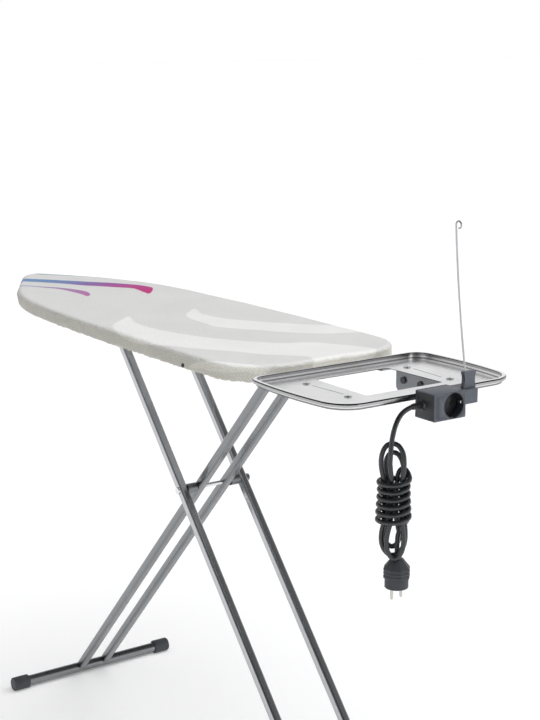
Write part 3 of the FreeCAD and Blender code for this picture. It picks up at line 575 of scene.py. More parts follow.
class Palette:
    """Every finish of the board, made once."""

    def __init__(self) -> None:
        """Builds the materials."""
        finishes = {
            # Chromed tube under clear lacquer: bright, slightly hazy streaks of light.
            "tube": MetalFinish("lacquered_chrome_tube", "#C2C3C5", 0.17),
            # The inner frame's tube: a darker, rougher copy of the same lacquered chrome; its darker
            # colour is painted shade.
            "satin_tube": MetalFinish("lacquered_tube_painted_darker", "#8E9092", 0.24),
            "bright": MetalFinish("bright_chrome_rod", "#E9EAEB", 0.2),
            # Deep-drawn stainless sheet: fine rolled grain along the sheet, and painted reflections
            # as dark bands by height.
            "sheet": MetalFinish(
                "rolled_stainless_sheet", "#EDEDED", 0.17, Coat.BRUSHED,
                reflection_tones=tuple((drawn(0, 0, 0).z / MM + height, tone) for height, tone in REST_PAINTED_REFLECTIONS)),
            # Zinc plate on pressed steel: greyer and duller than the chrome.
            "zinc": MetalFinish("zinc_plated_steel", "#818486", 0.36, grain_mm=2.0),
            # Drawn spring wire and contact strip: drawing lines along the wire.
            "spring": MetalFinish("drawn_spring_steel", "#B9BABC", 0.3, Coat.SPRUNG),
            "brass": MetalFinish("turned_brass", "#B79A5B", 0.3),
            # Polyester powder coat on the pressed panel and rim: faint orange peel.
            "paint": PolymerFinish("grey_powder_coat", "#B4B6B8", "#AEB0B2", 0.45, 2.5, 0.12),
            # Spark-eroded ABS shell of the socket: even matt grain, slate grey.
            "shell": PolymerFinish("slate_abs_shell", "#50555D", "#5A5F68", 0.42, 0.8, 0.12),
            # dark plates on the socket's lead side: painted shade
            "cheek": PolymerFinish("painted_shade_abs", "#23272A", "#2B3033", 0.45, 0.8, 0.12),
            "insert": PolymerFinish("black_polyamide", "#22252A", "#2A2E33", 0.4),
            # Extruded PVC sheath of the lead: smooth, with a soft oily gloss.
            "sheath": PolymerFinish("pvc_lead_sheath", "#191C1F", "#22262A", 0.27, 1.6, 0.06, 0.7),
            "plug": PolymerFinish("rubber_plug", "#33363B", "#3E4147", 0.5, 0.7, 0.2),
            "feet": PolymerFinish("grey_polypropylene", "#3A3C40", "#45474B", 0.5),
        }
        self.looks = {name: finish.build() for name, finish in finishes.items()}
        self.looks["pins"] = MetalFinish("nickel_plated_pins", "#C9C7C0", 0.2).build()
        self.looks["cotton"] = PrintedCotton().build()
        self.looks["felt"] = NeedledFelt().build()

    def __getitem__(self, name: str) -> Look:
        """The finish of that name."""
        return self.looks[name]


# ---------------------------------------------------------------- studio
@dataclass
class Studio:
    """Camera, pale floor and soft light."""

    eye: tuple[float, float, float] = (2.44336, -1.57727, 1.45099)
    yaw: float = 2.52261
    pitch: float = 0.21341
    lens: float = 75.85
    box_at: tuple[float, float, float] = (3.2, 0.9, 1.9)
    box_faces: tuple[float, float, float] = (0.6, 0, 0.85)
    box_size: float = 1.2
    box_watts: float = 5.0
    # tones by how far a direction points up, from 0 at straight down
    soft_height: Tones = (
        (0.5, 0.1), (0.68, 0.28), (0.86, 1.7), (1.0, 2.7))
    back_wall: Tones = (
        (0.5, 0.9), (0.52, 0.5), (0.6, 0.24), (0.7, 0.09), (0.85, 0.055), (1.0, 0.04))
    front_wall: Tones = (
        (0.5, 1.0), (0.56, 1.05), (0.64, 0.95), (0.75, 0.4), (0.88, 0.14), (1.0, 0.05))
    # tones by how far it points at the heel, and at the left wall
    soft_side: Tones = (
        (0.0, 0.1), (0.35, 0.2), (0.5, 0.72), (0.65, 1.0), (1.0, 1.6))
    left_wall: Tones = (
        (0.0, 3.0), (0.12, 2.4), (0.25, 1.3), (0.45, 0.8), (0.6, 1.3), (0.85, 3.4), (1.0, 2.4))

    def camera(self) -> None:
        """Places the camera at the viewing angle."""
        data = bpy.data.cameras.new("camera")
        data.lens = self.lens
        data.sensor_width = 36.0
        data.clip_end = 200.0
        made = stood("camera", data)
        flat = math.cos(self.pitch)
        ahead = Vector((math.cos(self.yaw) * flat, math.sin(self.yaw) * flat,
                        -math.sin(self.pitch)))
        made.rotation_euler = ahead.to_track_quat("-Z", "Y").to_euler()
        made.location = self.eye
        bpy.context.scene.camera = made

    def floor(self) -> None:
        """Lays a plain pale floor."""
        shape = bmesh.new()
        bmesh.ops.create_grid(shape, x_segments=1, y_segments=1, size=60.0)
        made = to_object(shape, "floor", None)
        material, tree, shader = blank_material("pale_studio_floor")
        place = node(tree, "ShaderNodeTexCoord").outputs["Object"]
        cloud = node(tree, "ShaderNodeTexNoise", {"Vector": place, "Scale": 1.5})
        tint = node(tree, "ShaderNodeMix", {
            0: cloud.outputs["Fac"], 6: linear("#F7F7F6"), 7: linear("#F3F3F2")},
            data_type="RGBA")
        feed(tree, shader, {
            "Base Color": tint.outputs[2], "Roughness": 0.9, "Specular IOR Level": 0.1,
            "Emission Color": (1, 1, 1, 1), "Emission Strength": 0.14})
        made.data.materials.append(material)

    @staticmethod
    def lean(tree: Tree, way: Socket,
             towards: tuple[float, float, float],
             stops: Profile) -> Socket:
        """Grey tone that follows how far a direction points one way.

        Args:
            tree: the world's node tree.
            way: the direction.
            towards: the way it is compared with, one unit long.
            stops: pairs of place, 0 opposite and 1 straight that way, and tone.

        Returns:
            The tone's socket.
        """
        facing = node(tree, "ShaderNodeVectorMath", {0: way, 1: towards},
                      operation="DOT_PRODUCT").outputs["Value"]
        part = node(tree, "ShaderNodeMapRange", {"Value": facing, "From Min": -1.0}).outputs["Result"]
        return node(tree, "ShaderNodeValToRGB", {"Fac": part}, stops=[
            (place, (tone, tone, tone * 1.01, 1)) for place, tone in stops]).outputs["Color"]

    def sky(self) -> None:
        """Lights the room. Reflections see other walls than the soft light, and the view white."""
        world = bpy.data.worlds.new("studio")
        bpy.context.scene.world = world
        world.use_nodes = True
        world.cycles.sampling_method = "NONE"
        tree = world.node_tree
        tree.nodes.clear()
        way = node(tree, "ShaderNodeTexCoord").outputs["Generated"]
        up, heel = (0.0, 0.0, 1.0), (0.9, 0.43, 0.0)
        away, left = (-0.814, 0.581, 0.0), (-0.581, -0.814, 0.0)
        soft, back = (
            node(tree, "ShaderNodeVectorMath", {
                0: self.lean(tree, way, up, height), 1: self.lean(tree, way, side, tones)},
                operation="MULTIPLY").outputs["Vector"]
            for height, side, tones in ((self.soft_height, heel, self.soft_side),
                                        (self.back_wall, left, self.left_wall)))
        front = self.lean(tree, way, up, self.front_wall)
        ahead = self.lean(tree, way, away, ((0.42, 0.0), (0.62, 1.0)))
        walls = node(tree, "ShaderNodeMix", {0: ahead, 6: back, 7: front},
                     data_type="RGBA").outputs[2]
        ray = node(tree, "ShaderNodeLightPath").outputs
        shaders = [node(tree, "ShaderNodeBackground", {"Color": tone}).outputs["Background"]
                   for tone in (soft, walls, (1, 1, 1, 1))]
        gloss = node(tree, "ShaderNodeMixShader", {
            0: ray["Is Glossy Ray"], 1: shaders[0], 2: shaders[1]}).outputs["Shader"]
        seen = node(tree, "ShaderNodeMixShader", {
            0: ray["Is Camera Ray"], 1: gloss, 2: shaders[2]})
        node(tree, "ShaderNodeOutputWorld", {"Surface": seen.outputs["Shader"]})

    def side_box(self) -> None:
        """Hangs the soft box beside the heel."""
        data = bpy.data.lights.new("side_box", "AREA")
        data.size, data.energy = self.box_size, self.box_watts
        made = stood("side_box", data)
        made.location = self.box_at
        way = Vector(self.box_faces) - Vector(self.box_at)
        made.rotation_euler = way.to_track_quat("-Z", "Y").to_euler()

    def build(self) -> None:
        """Sets the whole studio."""
        self.camera()
        self.floor()
        self.sky()
        self.side_box()
        bpy.context.scene.view_settings.view_transform = "Standard"


# ---------------------------------------------------------------- the board's outline
class Outline:
    """The board's plan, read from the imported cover."""

    def __init__(self, count: int) -> None:
        """Reads the cover's widest line and spaces it evenly.

        Args:
            count: points round the outline.
        """
        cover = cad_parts["cover"]
        points = np.array([v.co[:2] for v in cover.data.vertices], float)
        hull = self.hull(np.unique(points.round(6), axis=0))
        self.points = self.spaced(hull, count)
        self.low, self.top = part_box("cover")[0].z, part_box("cover")[1].z

    @staticmethod
    def hull(points: np.ndarray) -> np.ndarray:
        """The convex outline of flat points, anticlockwise.

        Args:
            points: flat points.

        Returns:
            The outline's corners.
        """
        order = points[np.lexsort((points[:, 1], points[:, 0]))]
        chains = []
        for run in (order, order[::-1]):
            chain: list[np.ndarray] = []
            for p in run:
                while len(chain) > 1:
                    a, b = chain[-1] - chain[-2], p - chain[-1]
                    if a[0] * b[1] - a[1] * b[0] > 0:
                        break
                    chain.pop()
                chain.append(p)
            chains += chain[:-1]
        return np.array(chains)

    @staticmethod
    def spaced(hull: np.ndarray, count: int) -> np.ndarray:
        """Even points along a closed line, started at the middle of the heel.

        Args:
            hull: the closed line.
            count: how many points.

        Returns:
            The evenly spaced points.
        """
        start = int(np.argmax(hull[:, 0] * 10 - np.abs(hull[:, 1])))
        line = np.roll(hull, -start, axis=0)
        heel = np.array([[line[:, 0].max(), 0.0]])
        line = np.vstack([heel, line[line[:, 1] > 1e-5] if line[1, 1] > 0 else line])
        full = np.vstack([line, line[1:][::-1] * [1, -1], heel])
        keep = np.r_[True, np.linalg.norm(np.diff(full, axis=0), axis=1) > 1e-6]
        full = full[keep]
        run = np.r_[0, np.cumsum(np.linalg.norm(np.diff(full, axis=0), axis=1))]
        at = np.linspace(0, run[-1], count, endpoint=False)
        return np.stack([np.interp(at, run, full[:, i]) for i in (0, 1)], axis=1)

    def outward(self) -> np.ndarray:
        """The outward direction at each point."""
        ahead = np.roll(self.points, -1, axis=0) - np.roll(self.points, 1, axis=0)
        out = np.stack([ahead[:, 1], -ahead[:, 0]], axis=1)
        return out / np.linalg.norm(out, axis=1)[:, None]

    def bend(self) -> np.ndarray:
        """How sharply the outline turns at each point, smoothed, from 0 to 1."""
        out = self.outward()
        turn = np.linalg.norm(np.roll(out, -4, axis=0) - np.roll(out, 4, axis=0), axis=1)
        kernel = np.hanning(41)
        wide = np.convolve(np.r_[turn[-40:], turn, turn[:40]], kernel / kernel.sum(), "same")
        wide = wide[40:-40]
        return wide / wide.max()


# ---------------------------------------------------------------- the cover's print
class Print:
    """The printed shapes, in millimetres of the flat cloth in the row frame."""

    WAVES = (
        ((-42, -175), (-75, -151), (-95, -126), (-121, -96), (-103, -99), (-52, -116), (35, -116),
         (131, -89), (204, -49), (265, -3), (294, 50), (321, 68), (352, 87), (390, 103),
         (409, 104), (424, 87), (426, 30), (426, -36), (412, -38), (384, -32), (349, -64),
         (322, -88), (288, -107), (226, -148), (191, -168), (151, -186), (95, -195), (50, -196),
         (6, -191)),
        ((-70, 8), (-100, 37), (-121, 60), (-90, 51), (-57, 41), (8, 49), (74, 87), (138, 136),
         (190, 181), (225, 196), (276, 196), (268, 168), (236, 109), (182, 57), (144, 38),
         (112, 13), (66, -11), (25, -10), (-31, -6)),
        ((251, -206), (273, -196), (299, -188), (332, -176), (363, -162), (382, -150),
         (398, -138), (410, -127), (409, -147), (390, -165), (364, -187), (329, -200),
         (292, -203), (262, -209)),
    )
    SWEEP = ((-745, -100), (-700, -72), (-648, -32), (-599, 6), (-548, 42), (-486, 92),
             (-440, 116), (-405, 124), (-383, 120), (-352, 100), (-326, 76), (-349, 78),
             (-403, 84), (-433, 67), (-503, 17), (-561, -16), (-610, -52), (-665, -92),
             (-720, -125))
    THIN_SWEEP = ((-600, -108), (-557, -78), (-507, -43), (-470, -26), (-435, -20), (-404, -25),
                  (-384, -36), (-375, -46), (-400, -45), (-436, -45), (-489, -52), (-548, -83),
                  (-596, -114))
    EDGE_LINE = ((-716, -2), (-680, 22), (-642, 53), (-600, 82), (-560, 104), (-562, 107),
                 (-602, 87), (-644, 58), (-682, 29), (-718, 5))

    @staticmethod
    def rounded(corners: Profile, steps: int = 6) -> np.ndarray:
        """Rounds a closed shape with a curve through its corners.

        Args:
            corners: the shape's corners.
            steps: points between two corners.

        Returns:
            The rounded shape.
        """
        p = np.array(corners, float)
        t = np.linspace(0, 1, steps, endpoint=False)[:, None]
        out = []
        for i in range(len(p)):
            a, b, c, d = (p[(i + k) % len(p)] for k in (-1, 0, 1, 2))
            out.append(0.5 * (2 * b + (c - a) * t + (2 * a - 5 * b + 4 * c - d) * t ** 2
                              + (3 * b - a - 3 * c + d) * t ** 3))
        return np.vstack(out)

    @staticmethod
    def distance(points: np.ndarray, shape: np.ndarray) -> np.ndarray:
        """Signed distance to a closed shape, negative inside.

        Args:
            points: where it is measured.
            shape: the closed shape.

        Returns:
            The distances.
        """
        best = np.full(len(points), np.inf)
        inside = np.zeros(len(points), bool)
        for a, b in zip(shape, np.roll(shape, -1, axis=0)):
            run, to = b - a, points - a
            t = np.clip((to @ run) / max(run @ run, 1e-12), 0, 1)
            best = np.minimum(best, np.linalg.norm(to - t[:, None] * run, axis=1))
            crosses = (a[1] > points[:, 1]) != (b[1] > points[:, 1])
            with np.errstate(divide="ignore", invalid="ignore"):
                where = a[0] + (points[:, 1] - a[1]) * run[0] / run[1]
            inside ^= crosses & (points[:, 0] < where)
        return np.where(inside, -best, best)

    def layers(self, flat: np.ndarray) -> dict[str, np.ndarray]:
        """The distance to each printed layer.

        Args:
            flat: places on the flat cloth, in metres.

        Returns:
            Layer name to distances in millimetres.
        """
        at = flat * 1000
        waves = [self.distance(at, self.rounded(w)) for w in self.WAVES]
        return {"pale": np.min(waves, axis=0),
                "sweep": self.distance(at, self.rounded(self.SWEEP)),
                "thin_sweep": self.distance(at, self.rounded(self.THIN_SWEEP)),
                "edge_line": self.distance(at, self.rounded(self.EDGE_LINE))}


# ---------------------------------------------------------------- cover and pad
@dataclass
class ClothTop:
    """The stretched cotton cover and the felt pad inside it.

    Attributes:
        across: cells of the cloth across the board.
        along: cells of the cloth along the board.
        inset_mm: where the flat top ends and the rounded edge starts.
        gather_mm: depth of the gathers pulled in by the drawcord.
        sink_mm: how far the skirt may press inwards from its line.
        move_mm: how far the settled cloth may move at all.
        moments: frames that the cloth settles for.
    """

    palette: Palette
    across: int = 88
    along: int = 262
    inset_mm: float = 11.0
    gather_mm: float = 1.7
    sink_mm: float = 0.25
    move_mm: float = 3.0
    moments: int = 20
    # outward step from the outline and height below the top, in millimetres
    section: Tones = (
        (-9.2, -0.05), (-7.4, -0.3), (-5.6, -0.9), (-3.9, -1.9), (-2.4, -3.3), (-1.2, -5.2),
        (-0.5, -7.6), (-0.15, -10.4), (0.0, -13.6), (0.05, -16.8), (0.0, -20.0), (-0.1, -23.0),
        (-0.5, -25.8), (-1.5, -28.2), (-3.6, -29.6), (-6.6, -29.9), (-9.6, -29.4))

    def build(self) -> None:
        """Makes both pieces."""
        outline = Outline(2 * (self.across + self.along))
        self.cover(outline)
        self.pad(outline)

    def plan(self, outline: Outline) -> tuple[Shape, list[bmesh.types.BMVert]]:
        """Fits a square grid to the board's plan with its rim on the inset outline.

        Args:
            outline: the board's outline.

        Returns:
            The mesh and its rim's points in the outline's order.
        """
        shape = bmesh.new()
        for name in ("free", "flat_x", "flat_y", "skirt"):
            shape.verts.layers.float.new(name)
        bmesh.ops.create_grid(shape, x_segments=self.along, y_segments=self.across, size=1.0)
        rim = outline.points - outline.outward() * self.inset_mm * MM
        count = len(rim)
        x0, x1 = rim[:, 0].min(), rim[:, 0].max()
        half = rim[:, 1].max()
        centre, reach = (x0 + x1) / 2, (x1 - x0) / 2
        order: dict[int, bmesh.types.BMVert] = {}
        for v in shape.verts:
            u, w = v.co.x, v.co.y
            ring = max(abs(u), abs(w))
            if ring < 1e-9:
                v.co = (centre, 0, outline.top)
                continue
            step = self.perimeter_step(u / ring, w / ring)
            low = int(math.floor(step)) % count
            part = step - math.floor(step)
            edge = rim[low] * (1 - part) + rim[(low + 1) % count] * part
            corner = np.array([centre + u / ring * reach * 0.96, w / ring * half * 0.96])
            inner = np.array([centre + u * reach * 0.96, w * half * 0.96])
            at = inner + (edge - corner) * ring ** 3
            v.co = (at[0], at[1], outline.top)
            if ring > 1 - 1e-6:
                order[int(round(step)) % count] = v
        return shape, [order[i] for i in range(count)]

    def perimeter_step(self, u: float, w: float) -> float:
        """The outline's step for a point on the unit square's border.

        Args:
            u: place along the board, from -1 at the nose.
            w: place across the board.

        Returns:
            The step, counted anticlockwise from the middle of the heel.
        """
        up, along = self.across, self.along
        if u > 1 - 1e-9:
            step = w * up / 2
        elif w > 1 - 1e-9:
            step = up / 2 + (1 - u) * along / 2
        elif u < -1 + 1e-9:
            step = up / 2 + along + (1 - w) * up / 2
        else:
            step = up * 1.5 + along + (u + 1) * along / 2
        return step % (2 * (up + along))

    def cover(self, outline: Outline) -> None:
        """Makes the cover: top, rounded edge, gathered skirt and turned-in hem.

        Args:
            outline: the board's outline.
        """
        shape, rim = self.plan(outline)
        out, bend = outline.outward(), outline.bend()
        gathers = self.gathers(len(rim), bend)
        loop = rim
        free, flat_x, flat_y, skirt = (shape.verts.layers.float[name]
                                       for name in ("free", "flat_x", "flat_y", "skirt"))
        for v in shape.verts:
            v[flat_x], v[flat_y] = v.co.x, v.co.y
        last = len(self.section) - 1
        flat = self.inset_mm
        before = (-self.inset_mm, 0.0)
        for row, (step, down) in enumerate(self.section):
            flat -= math.hypot(step - before[0], down - before[1])
            before = (step, down)
            edges = [shape.edges.get((a, b)) for a, b in zip(loop, loop[1:] + loop[:1])]
            made = bmesh.ops.extrude_edge_only(shape, edges=edges)["geom"]
            fresh = {v for v in made if isinstance(v, bmesh.types.BMVert)}
            pairs = {next(iter(e.other_vert(v) for e in v.link_edges
                               if e.other_vert(v) not in fresh)): v for v in fresh}
            loop = [pairs[v] for v in loop]
            strength = max(0.0, min(1.0, (row - 4) / 6))
            for i, v in enumerate(loop):
                push = step + gathers[i] * strength
                at = outline.points[i] + out[i] * push * MM
                v.co = (at[0], at[1], outline.top + down * MM)
                spread = outline.points[i] - out[i] * flat * MM
                v[flat_x], v[flat_y] = spread
                v[free] = 1.0 if 3 < row < last - 1 else 0.25
                # weight of the painted shade in the cloth's colour: none on the top, full down the
                # skirt
                v[skirt] = min(1.0, max(0.0, (row - 2) / 5))
        piece = to_object(shape, "ironing_cover", None)
        for polygon in piece.data.polygons:
            polygon.use_smooth = True
        self.print_on(piece)
        self.settle_cloth(piece, outline)
        self.crown(piece, outline)
        self.thicken(piece)
        settle(piece, self.palette["cotton"], "board", "cover_fabric", "cover")

    def gathers(self, count: int, bend: np.ndarray) -> np.ndarray:
        """Depth of the pleats round the skirt, deeper where the outline turns.

        Args:
            count: points round the skirt.
            bend: how sharply the outline turns there.

        Returns:
            Outward steps in millimetres.
        """
        draw = np.random.default_rng(SEED)
        at = np.arange(count) / count * math.tau
        waves = np.zeros(count)
        for cycles in (61, 83, 109, 137, 173):
            waves += np.sin(at * cycles + draw.uniform(0, math.tau)) * draw.uniform(0.5, 1.0)
        waves /= np.abs(waves).max()
        return (waves * 0.55 + 0.35) * self.gather_mm * (0.16 + 0.84 * bend)

    def print_on(self, piece: Piece) -> None:
        """Stores the cloth's flat places and the distance to each printed shape.

        Args:
            piece: the cover.
        """
        mesh = piece.data
        flat = np.stack([values(mesh.attributes[name].data, "value")
                         for name in ("flat_x", "flat_y")], axis=1)
        for name, away in Print().layers(flat).items():
            layer = mesh.attributes.new("print_" + name, "FLOAT", "POINT")
            layer.data.foreach_set("value", away.astype(np.float32))
        corners = values(mesh.loops, "vertex_index", kind=np.int32)
        layer = mesh.uv_layers.new(name="cloth")
        layer.data.foreach_set("uv", flat[corners].astype(np.float32).ravel())

    def settle_cloth(self, piece: Piece, outline: Outline) -> None:
        """Lets the skirt's cloth buckle between the pad and the drawcord.

        Args:
            piece: the cover.
            outline: the board's outline, which the cloth can't sink into.
        """
        mesh = piece.data
        rest = values(mesh.vertices, "co", 3)
        free = values(mesh.attributes["free"].data, "value")
        pins = piece.vertex_groups.new(name="held")
        for weight in (0.0, 0.25):
            chosen = np.flatnonzero(np.abs(free - weight) < 0.01).tolist()
            pins.add(chosen, 1.0 - weight * 0.6, "REPLACE")
        cloth = piece.modifiers.new("cloth", "CLOTH")
        rules = {"quality": 5, "mass": 0.25, "tension_stiffness": 18,
                 "compression_stiffness": 18, "shear_stiffness": 6, "bending_stiffness": 0.35,
                 "shrink_min": -0.035, "use_pressure": True, "uniform_pressure_force": 1.5,
                 "vertex_group_mass": pins.name, "pin_stiffness": 4.0}
        for name, value in rules.items():
            setattr(cloth.settings, name, value)
        cloth.settings.effector_weights.gravity = 0.0
        cloth.collision_settings.use_collision = False
        cloth.point_cache.frame_start, cloth.point_cache.frame_end = 1, self.moments
        for moment in range(1, self.moments + 1):
            bpy.context.scene.frame_set(moment)
        solved = piece.evaluated_get(bpy.context.evaluated_depsgraph_get())
        moved = values(solved.data.vertices, "co", 3)
        piece.modifiers.remove(cloth)
        bpy.context.scene.frame_set(1)
        step = moved - rest
        size = np.linalg.norm(step, axis=1, keepdims=True)
        cap = self.move_mm * MM
        step *= np.minimum(1.0, cap / np.maximum(size, 1e-9))
        step *= np.clip(free, 0, 1)[:, None]
        skirt = np.flatnonzero(free > 0)
        gaps = np.linalg.norm(rest[skirt, None, :2] - outline.points[None], axis=2)
        out = outline.outward()[gaps.argmin(axis=1)]
        inward = np.minimum((step[skirt, :2] * out).sum(axis=1) + self.sink_mm * MM, 0.0)
        step[skirt, :2] -= inward[:, None] * out
        mesh.vertices.foreach_set("co", (rest + step).ravel())
        mesh.update()
        LOG.info("cloth settled, mean move %.2f mm", float(np.minimum(size, cap).mean() * 1000))

    def crown(self, piece: Piece, outline: Outline) -> None:
        """Gives the padded top its faint unevenness.

        Args:
            piece: the cover.
            outline: the board's outline.
        """
        mesh = piece.data
        place = values(mesh.vertices, "co", 3)
        x, y = place[:, 0], place[:, 1]
        lumps = (np.sin(x * 31 + 1.3 * np.sin(y * 23)) + np.sin(y * 41 + 1.7 * np.sin(x * 17 + 2))
                 + 0.6 * np.sin(x * 67 + y * 53)) / 2.6
        on_top = np.clip((place[:, 2] - (outline.top - 0.004)) / 0.004, 0, 1)
        place[:, 2] += on_top * lumps * 0.00045
        mesh.vertices.foreach_set("co", place.ravel())
        mesh.update()

    def thicken(self, piece: Piece) -> None:
        """Gives the cloth its thickness, inwards.

        Args:
            piece: the cover.
        """
        solid = piece.modifiers.new("cloth thickness", "SOLIDIFY")
        solid.thickness = 0.9 * MM
        solid.offset = -1.0

    def pad(self, outline: Outline) -> None:
        """Makes the felt pad with a soft upper edge.

        Args:
            outline: the board's outline.
        """
        low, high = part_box("pad")
        shape = bmesh.new()
        points = outline.points[::4] - outline.outward()[::4] * 2.4 * MM
        base = shape.faces.new([shape.verts.new((p[0], p[1], low.z)) for p in points])
        raised = bmesh.ops.extrude_face_region(shape, geom=[base])["geom"]
        top = [v for v in raised if isinstance(v, bmesh.types.BMVert)]
        bmesh.ops.translate(shape, verts=top, vec=(0, 0, high.z - low.z - 0.8 * MM))
        rim = [e for e in shape.edges if all(v in set(top) for v in e.verts)]
        bmesh.ops.bevel(shape, geom=rim, affect="EDGES", offset=4.5 * MM, segments=5,
                        profile=0.5, material=-1)
        caps = [f for f in shape.faces if len(f.verts) > 8]
        bmesh.ops.triangulate(shape, faces=caps)
        piece = to_object(shape, "felt_pad")
        settle(piece, self.palette["felt"], "board", "pad_foam", "pad")


# ---------------------------------------------------------------- lead, hank and plug
@dataclass
class Lead:
    """The mains lead: strain relief, hanging run, tied-up hank and plug.

    Attributes:
        radius_mm: the sheath's radius.
        wraps: centre-line half width of each wrap round the hank, from the top.
    """

    palette: Palette
    radius_mm: float = 4.0
    wraps: tuple[float, ...] = (25.4, 23.2, 23.6, 24.2, 25.0, 25.8)
    # the part's own route from the gland to the hank, in millimetres of its drawing
    route: Route = (
        (270.7, -60.0, -4.5), (270.7, -74.0, -7.5), (270.7, -86.0, -17.0),
        (271.0, -94.5, -32.0), (271.5, -99.5, -48.5), (272.0, -101.5, -58.0))
    # hank runs as (across, behind, height): across the view, behind it, and in the drawing
    loops: Route = (
        (-6.5, -7, -72), (-7.5, -9, -88), (-6, -10, -104), (-4, -10, -120), (-4, -10, -142),
        (-4, -10, -164), (-5, -10, -184), (-10, -10.5, -202), (-11.5, -10, -218),
        (-9, -9.5, -233), (-2, -9.5, -243), (6, -9.5, -243), (13, -9.5, -234),
        (16.5, -9.5, -220), (15.5, -8.5, -202), (12.5, -7, -184), (12, -7, -164),
        (12, -7, -142), (12, -7, -120), (14.5, -6, -102), (15.5, -4, -86), (14, -1, -73),
        (8, 3, -62.5), (-1, 5, -58.5), (-10, 5, -60), (-17.5, 4, -69), (-21, 2, -84),
        (-19.5, 0, -102), (-14.5, -1, -120), (-14, -1, -142), (-14, -1, -164), (-14.5, -1, -184),
        (-18.5, -1, -202), (-19, -1, -217), (-14.5, -1, -231), (-6, -1, -240), (4, -1, -240.5),
        (13, -1, -234), (19, -1, -220), (19.5, -1, -203), (17.5, 3, -184), (17, 3, -164),
        (17, 3, -142), (17, 3, -120), (16.5, 6, -104), (14, 10, -90), (8.5, 13, -79),
        (0, 14, -75), (-8, 14, -79), (-12.5, 13, -91), (-12, 11.5, -106), (-9, 10.5, -120),
        (-9, 10, -142), (-9, 10, -164), (-9.5, 10.5, -184), (-13, 13, -202), (-13, 15.5, -216),
        (-8, 16, -228), (0, 16.5, -233), (8, 16, -228), (12, 15.5, -216), (9.5, 14.5, -200),
        (5.5, 11.5, -184), (5, 11, -164), (5, 11, -142), (5.5, 11.5, -122), (8, 13.5, -108),
        (14, 14, -101), (21, 11, -104))
    # distance down the plug and radius over the corners of its octagon
    plug_profile: Tones = (
        (0, 0), (0, 10.6), (4, 13.6), (15, 22.3), (17.5, 22.4), (18.2, 21.5), (20.2, 21.5),
        (20.9, 22.4), (23.2, 22.4), (23.9, 21.5), (25.9, 21.5), (26.6, 22.4), (31, 22.2), (31, 0))
    tail: Route = (
        (21, 12, -190), (15, 8.5, -196), (9, 7.5, -206), (7.4, 7.4, -220), (7.3, 6.6, -236),
        (7.3, 5.2, -247))

    def build(self) -> None:
        """Makes every piece on the lead."""
        plug = self.plug()
        pins = self.pins()
        self.cord()
        self.strain_relief()

    @staticmethod
    def hank_point(across: float, behind: float, height: float) -> Vector:
        """A point of the hank in the row frame.

        Args:
            across: millimetres to the right of the hank's middle.
            behind: millimetres behind it.
            height: height in the part's drawing.

        Returns:
            The point.
        """
        right, away = (0.5802, 0.8145), (-0.8145, 0.5802)
        return drawn(272.0 + across * right[0] + behind * away[0],
                     -95.0 + across * right[1] + behind * away[1], height)

    def wrap_points(self) -> list[Vector]:
        """The turns round the hank's middle, fourteen points to a turn."""
        steps, top, pitch = 14, -114.0, 12.2
        points = []
        for turn, half in enumerate(self.wraps):
            for i in range(steps):
                part = i / steps
                angle = math.tau * part
                following = self.wraps[min(turn + 1, len(self.wraps) - 1)]
                wide = half * (1 - part) + following * part
                height = top - (turn + part) * pitch - 3.4 * math.sin(angle)
                points.append(self.hank_point(wide * math.cos(angle),
                                              -20.6 * math.sin(angle) + 0.6, height))
        return points

    def cord(self) -> None:
        """Lays the lead as one smooth spline from the gland to the plug.
        """
        points = [drawn(*p) for p in self.route]
        points += [self.hank_point(*p) for p in self.loops]
        points += self.wrap_points()
        points += [self.hank_point(*p) for p in self.tail]
        curve = bpy.data.curves.new("mains_lead", "CURVE")
        curve.dimensions = "3D"
        curve.bevel_depth = self.radius_mm * MM
        curve.bevel_resolution = 5
        curve.resolution_u = 5
        curve.use_fill_caps = True
        spline = curve.splines.new("NURBS")
        spline.points.add(len(points) - 1)
        for control, point in zip(spline.points, points):
            control.co = (*point, 1.0)
        spline.order_u = 3
        spline.use_endpoint_u = True
        piece = stood("mains_lead", curve)
        settle(piece, self.palette["sheath"], "board", "lead_rubber", "lead", "lead_hank")

    def plug(self) -> Piece:
        """Makes the faceted plug body with its tapered neck and two grip grooves.

        Returns:
            The plug body.
        """
        top = middle("plug_body")
        top.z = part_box("plug_body")[1].z
        down = Vector((0, 0, -1))
        shape = turned(self.plug_profile, top, down, 8)
        turn = Matrix.Rotation(math.radians(22.5), 3, "Z")
        bmesh.ops.rotate(shape, cent=top, matrix=turn, verts=shape.verts)
        bmesh.ops.recalc_face_normals(shape, faces=shape.faces)
        bmesh.ops.bevel(shape, geom=[e for e in shape.edges if e.calc_face_angle(0) > 0.4],
                        affect="EDGES", offset=0.35 * MM, segments=2, profile=0.5, material=-1)
        front = turned(((0, 0), (0, 18.6), (0.6, 19.2), (16.0, 19.2), (17.0, 18.2), (17.0, 16.6),
                        (15.4, 16.4), (15.4, 0)),
                       top + down * 31.0 * MM, down)
        piece = to_object(merged((shape, front)), "plug_shell", 32)
        return settle(piece, self.palette["plug"], "board", "plug_plastic", "plug_body")

    def pins(self) -> Piece:
        """Makes the two plated pins with domed tips.

        Returns:
            The pins, one piece.
        """
        root = middle("plug_pins")
        root.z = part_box("plug_pins")[1].z + 1.6 * MM
        profile = ((0, 0), (0, 2.4), (18.2, 2.4), (19.6, 2.0), (20.4, 1.1), (20.6, 0))
        shape = merged(turned(profile, root + Vector((0, side * 9.5 * MM, 0)),
                              Vector((0, 0, -1)), 24) for side in (-1, 1))
        piece = to_object(shape, "plug_pin_pair", 35)
        return settle(piece, self.palette["pins"], "board", "plated_pins", "plug_pins")

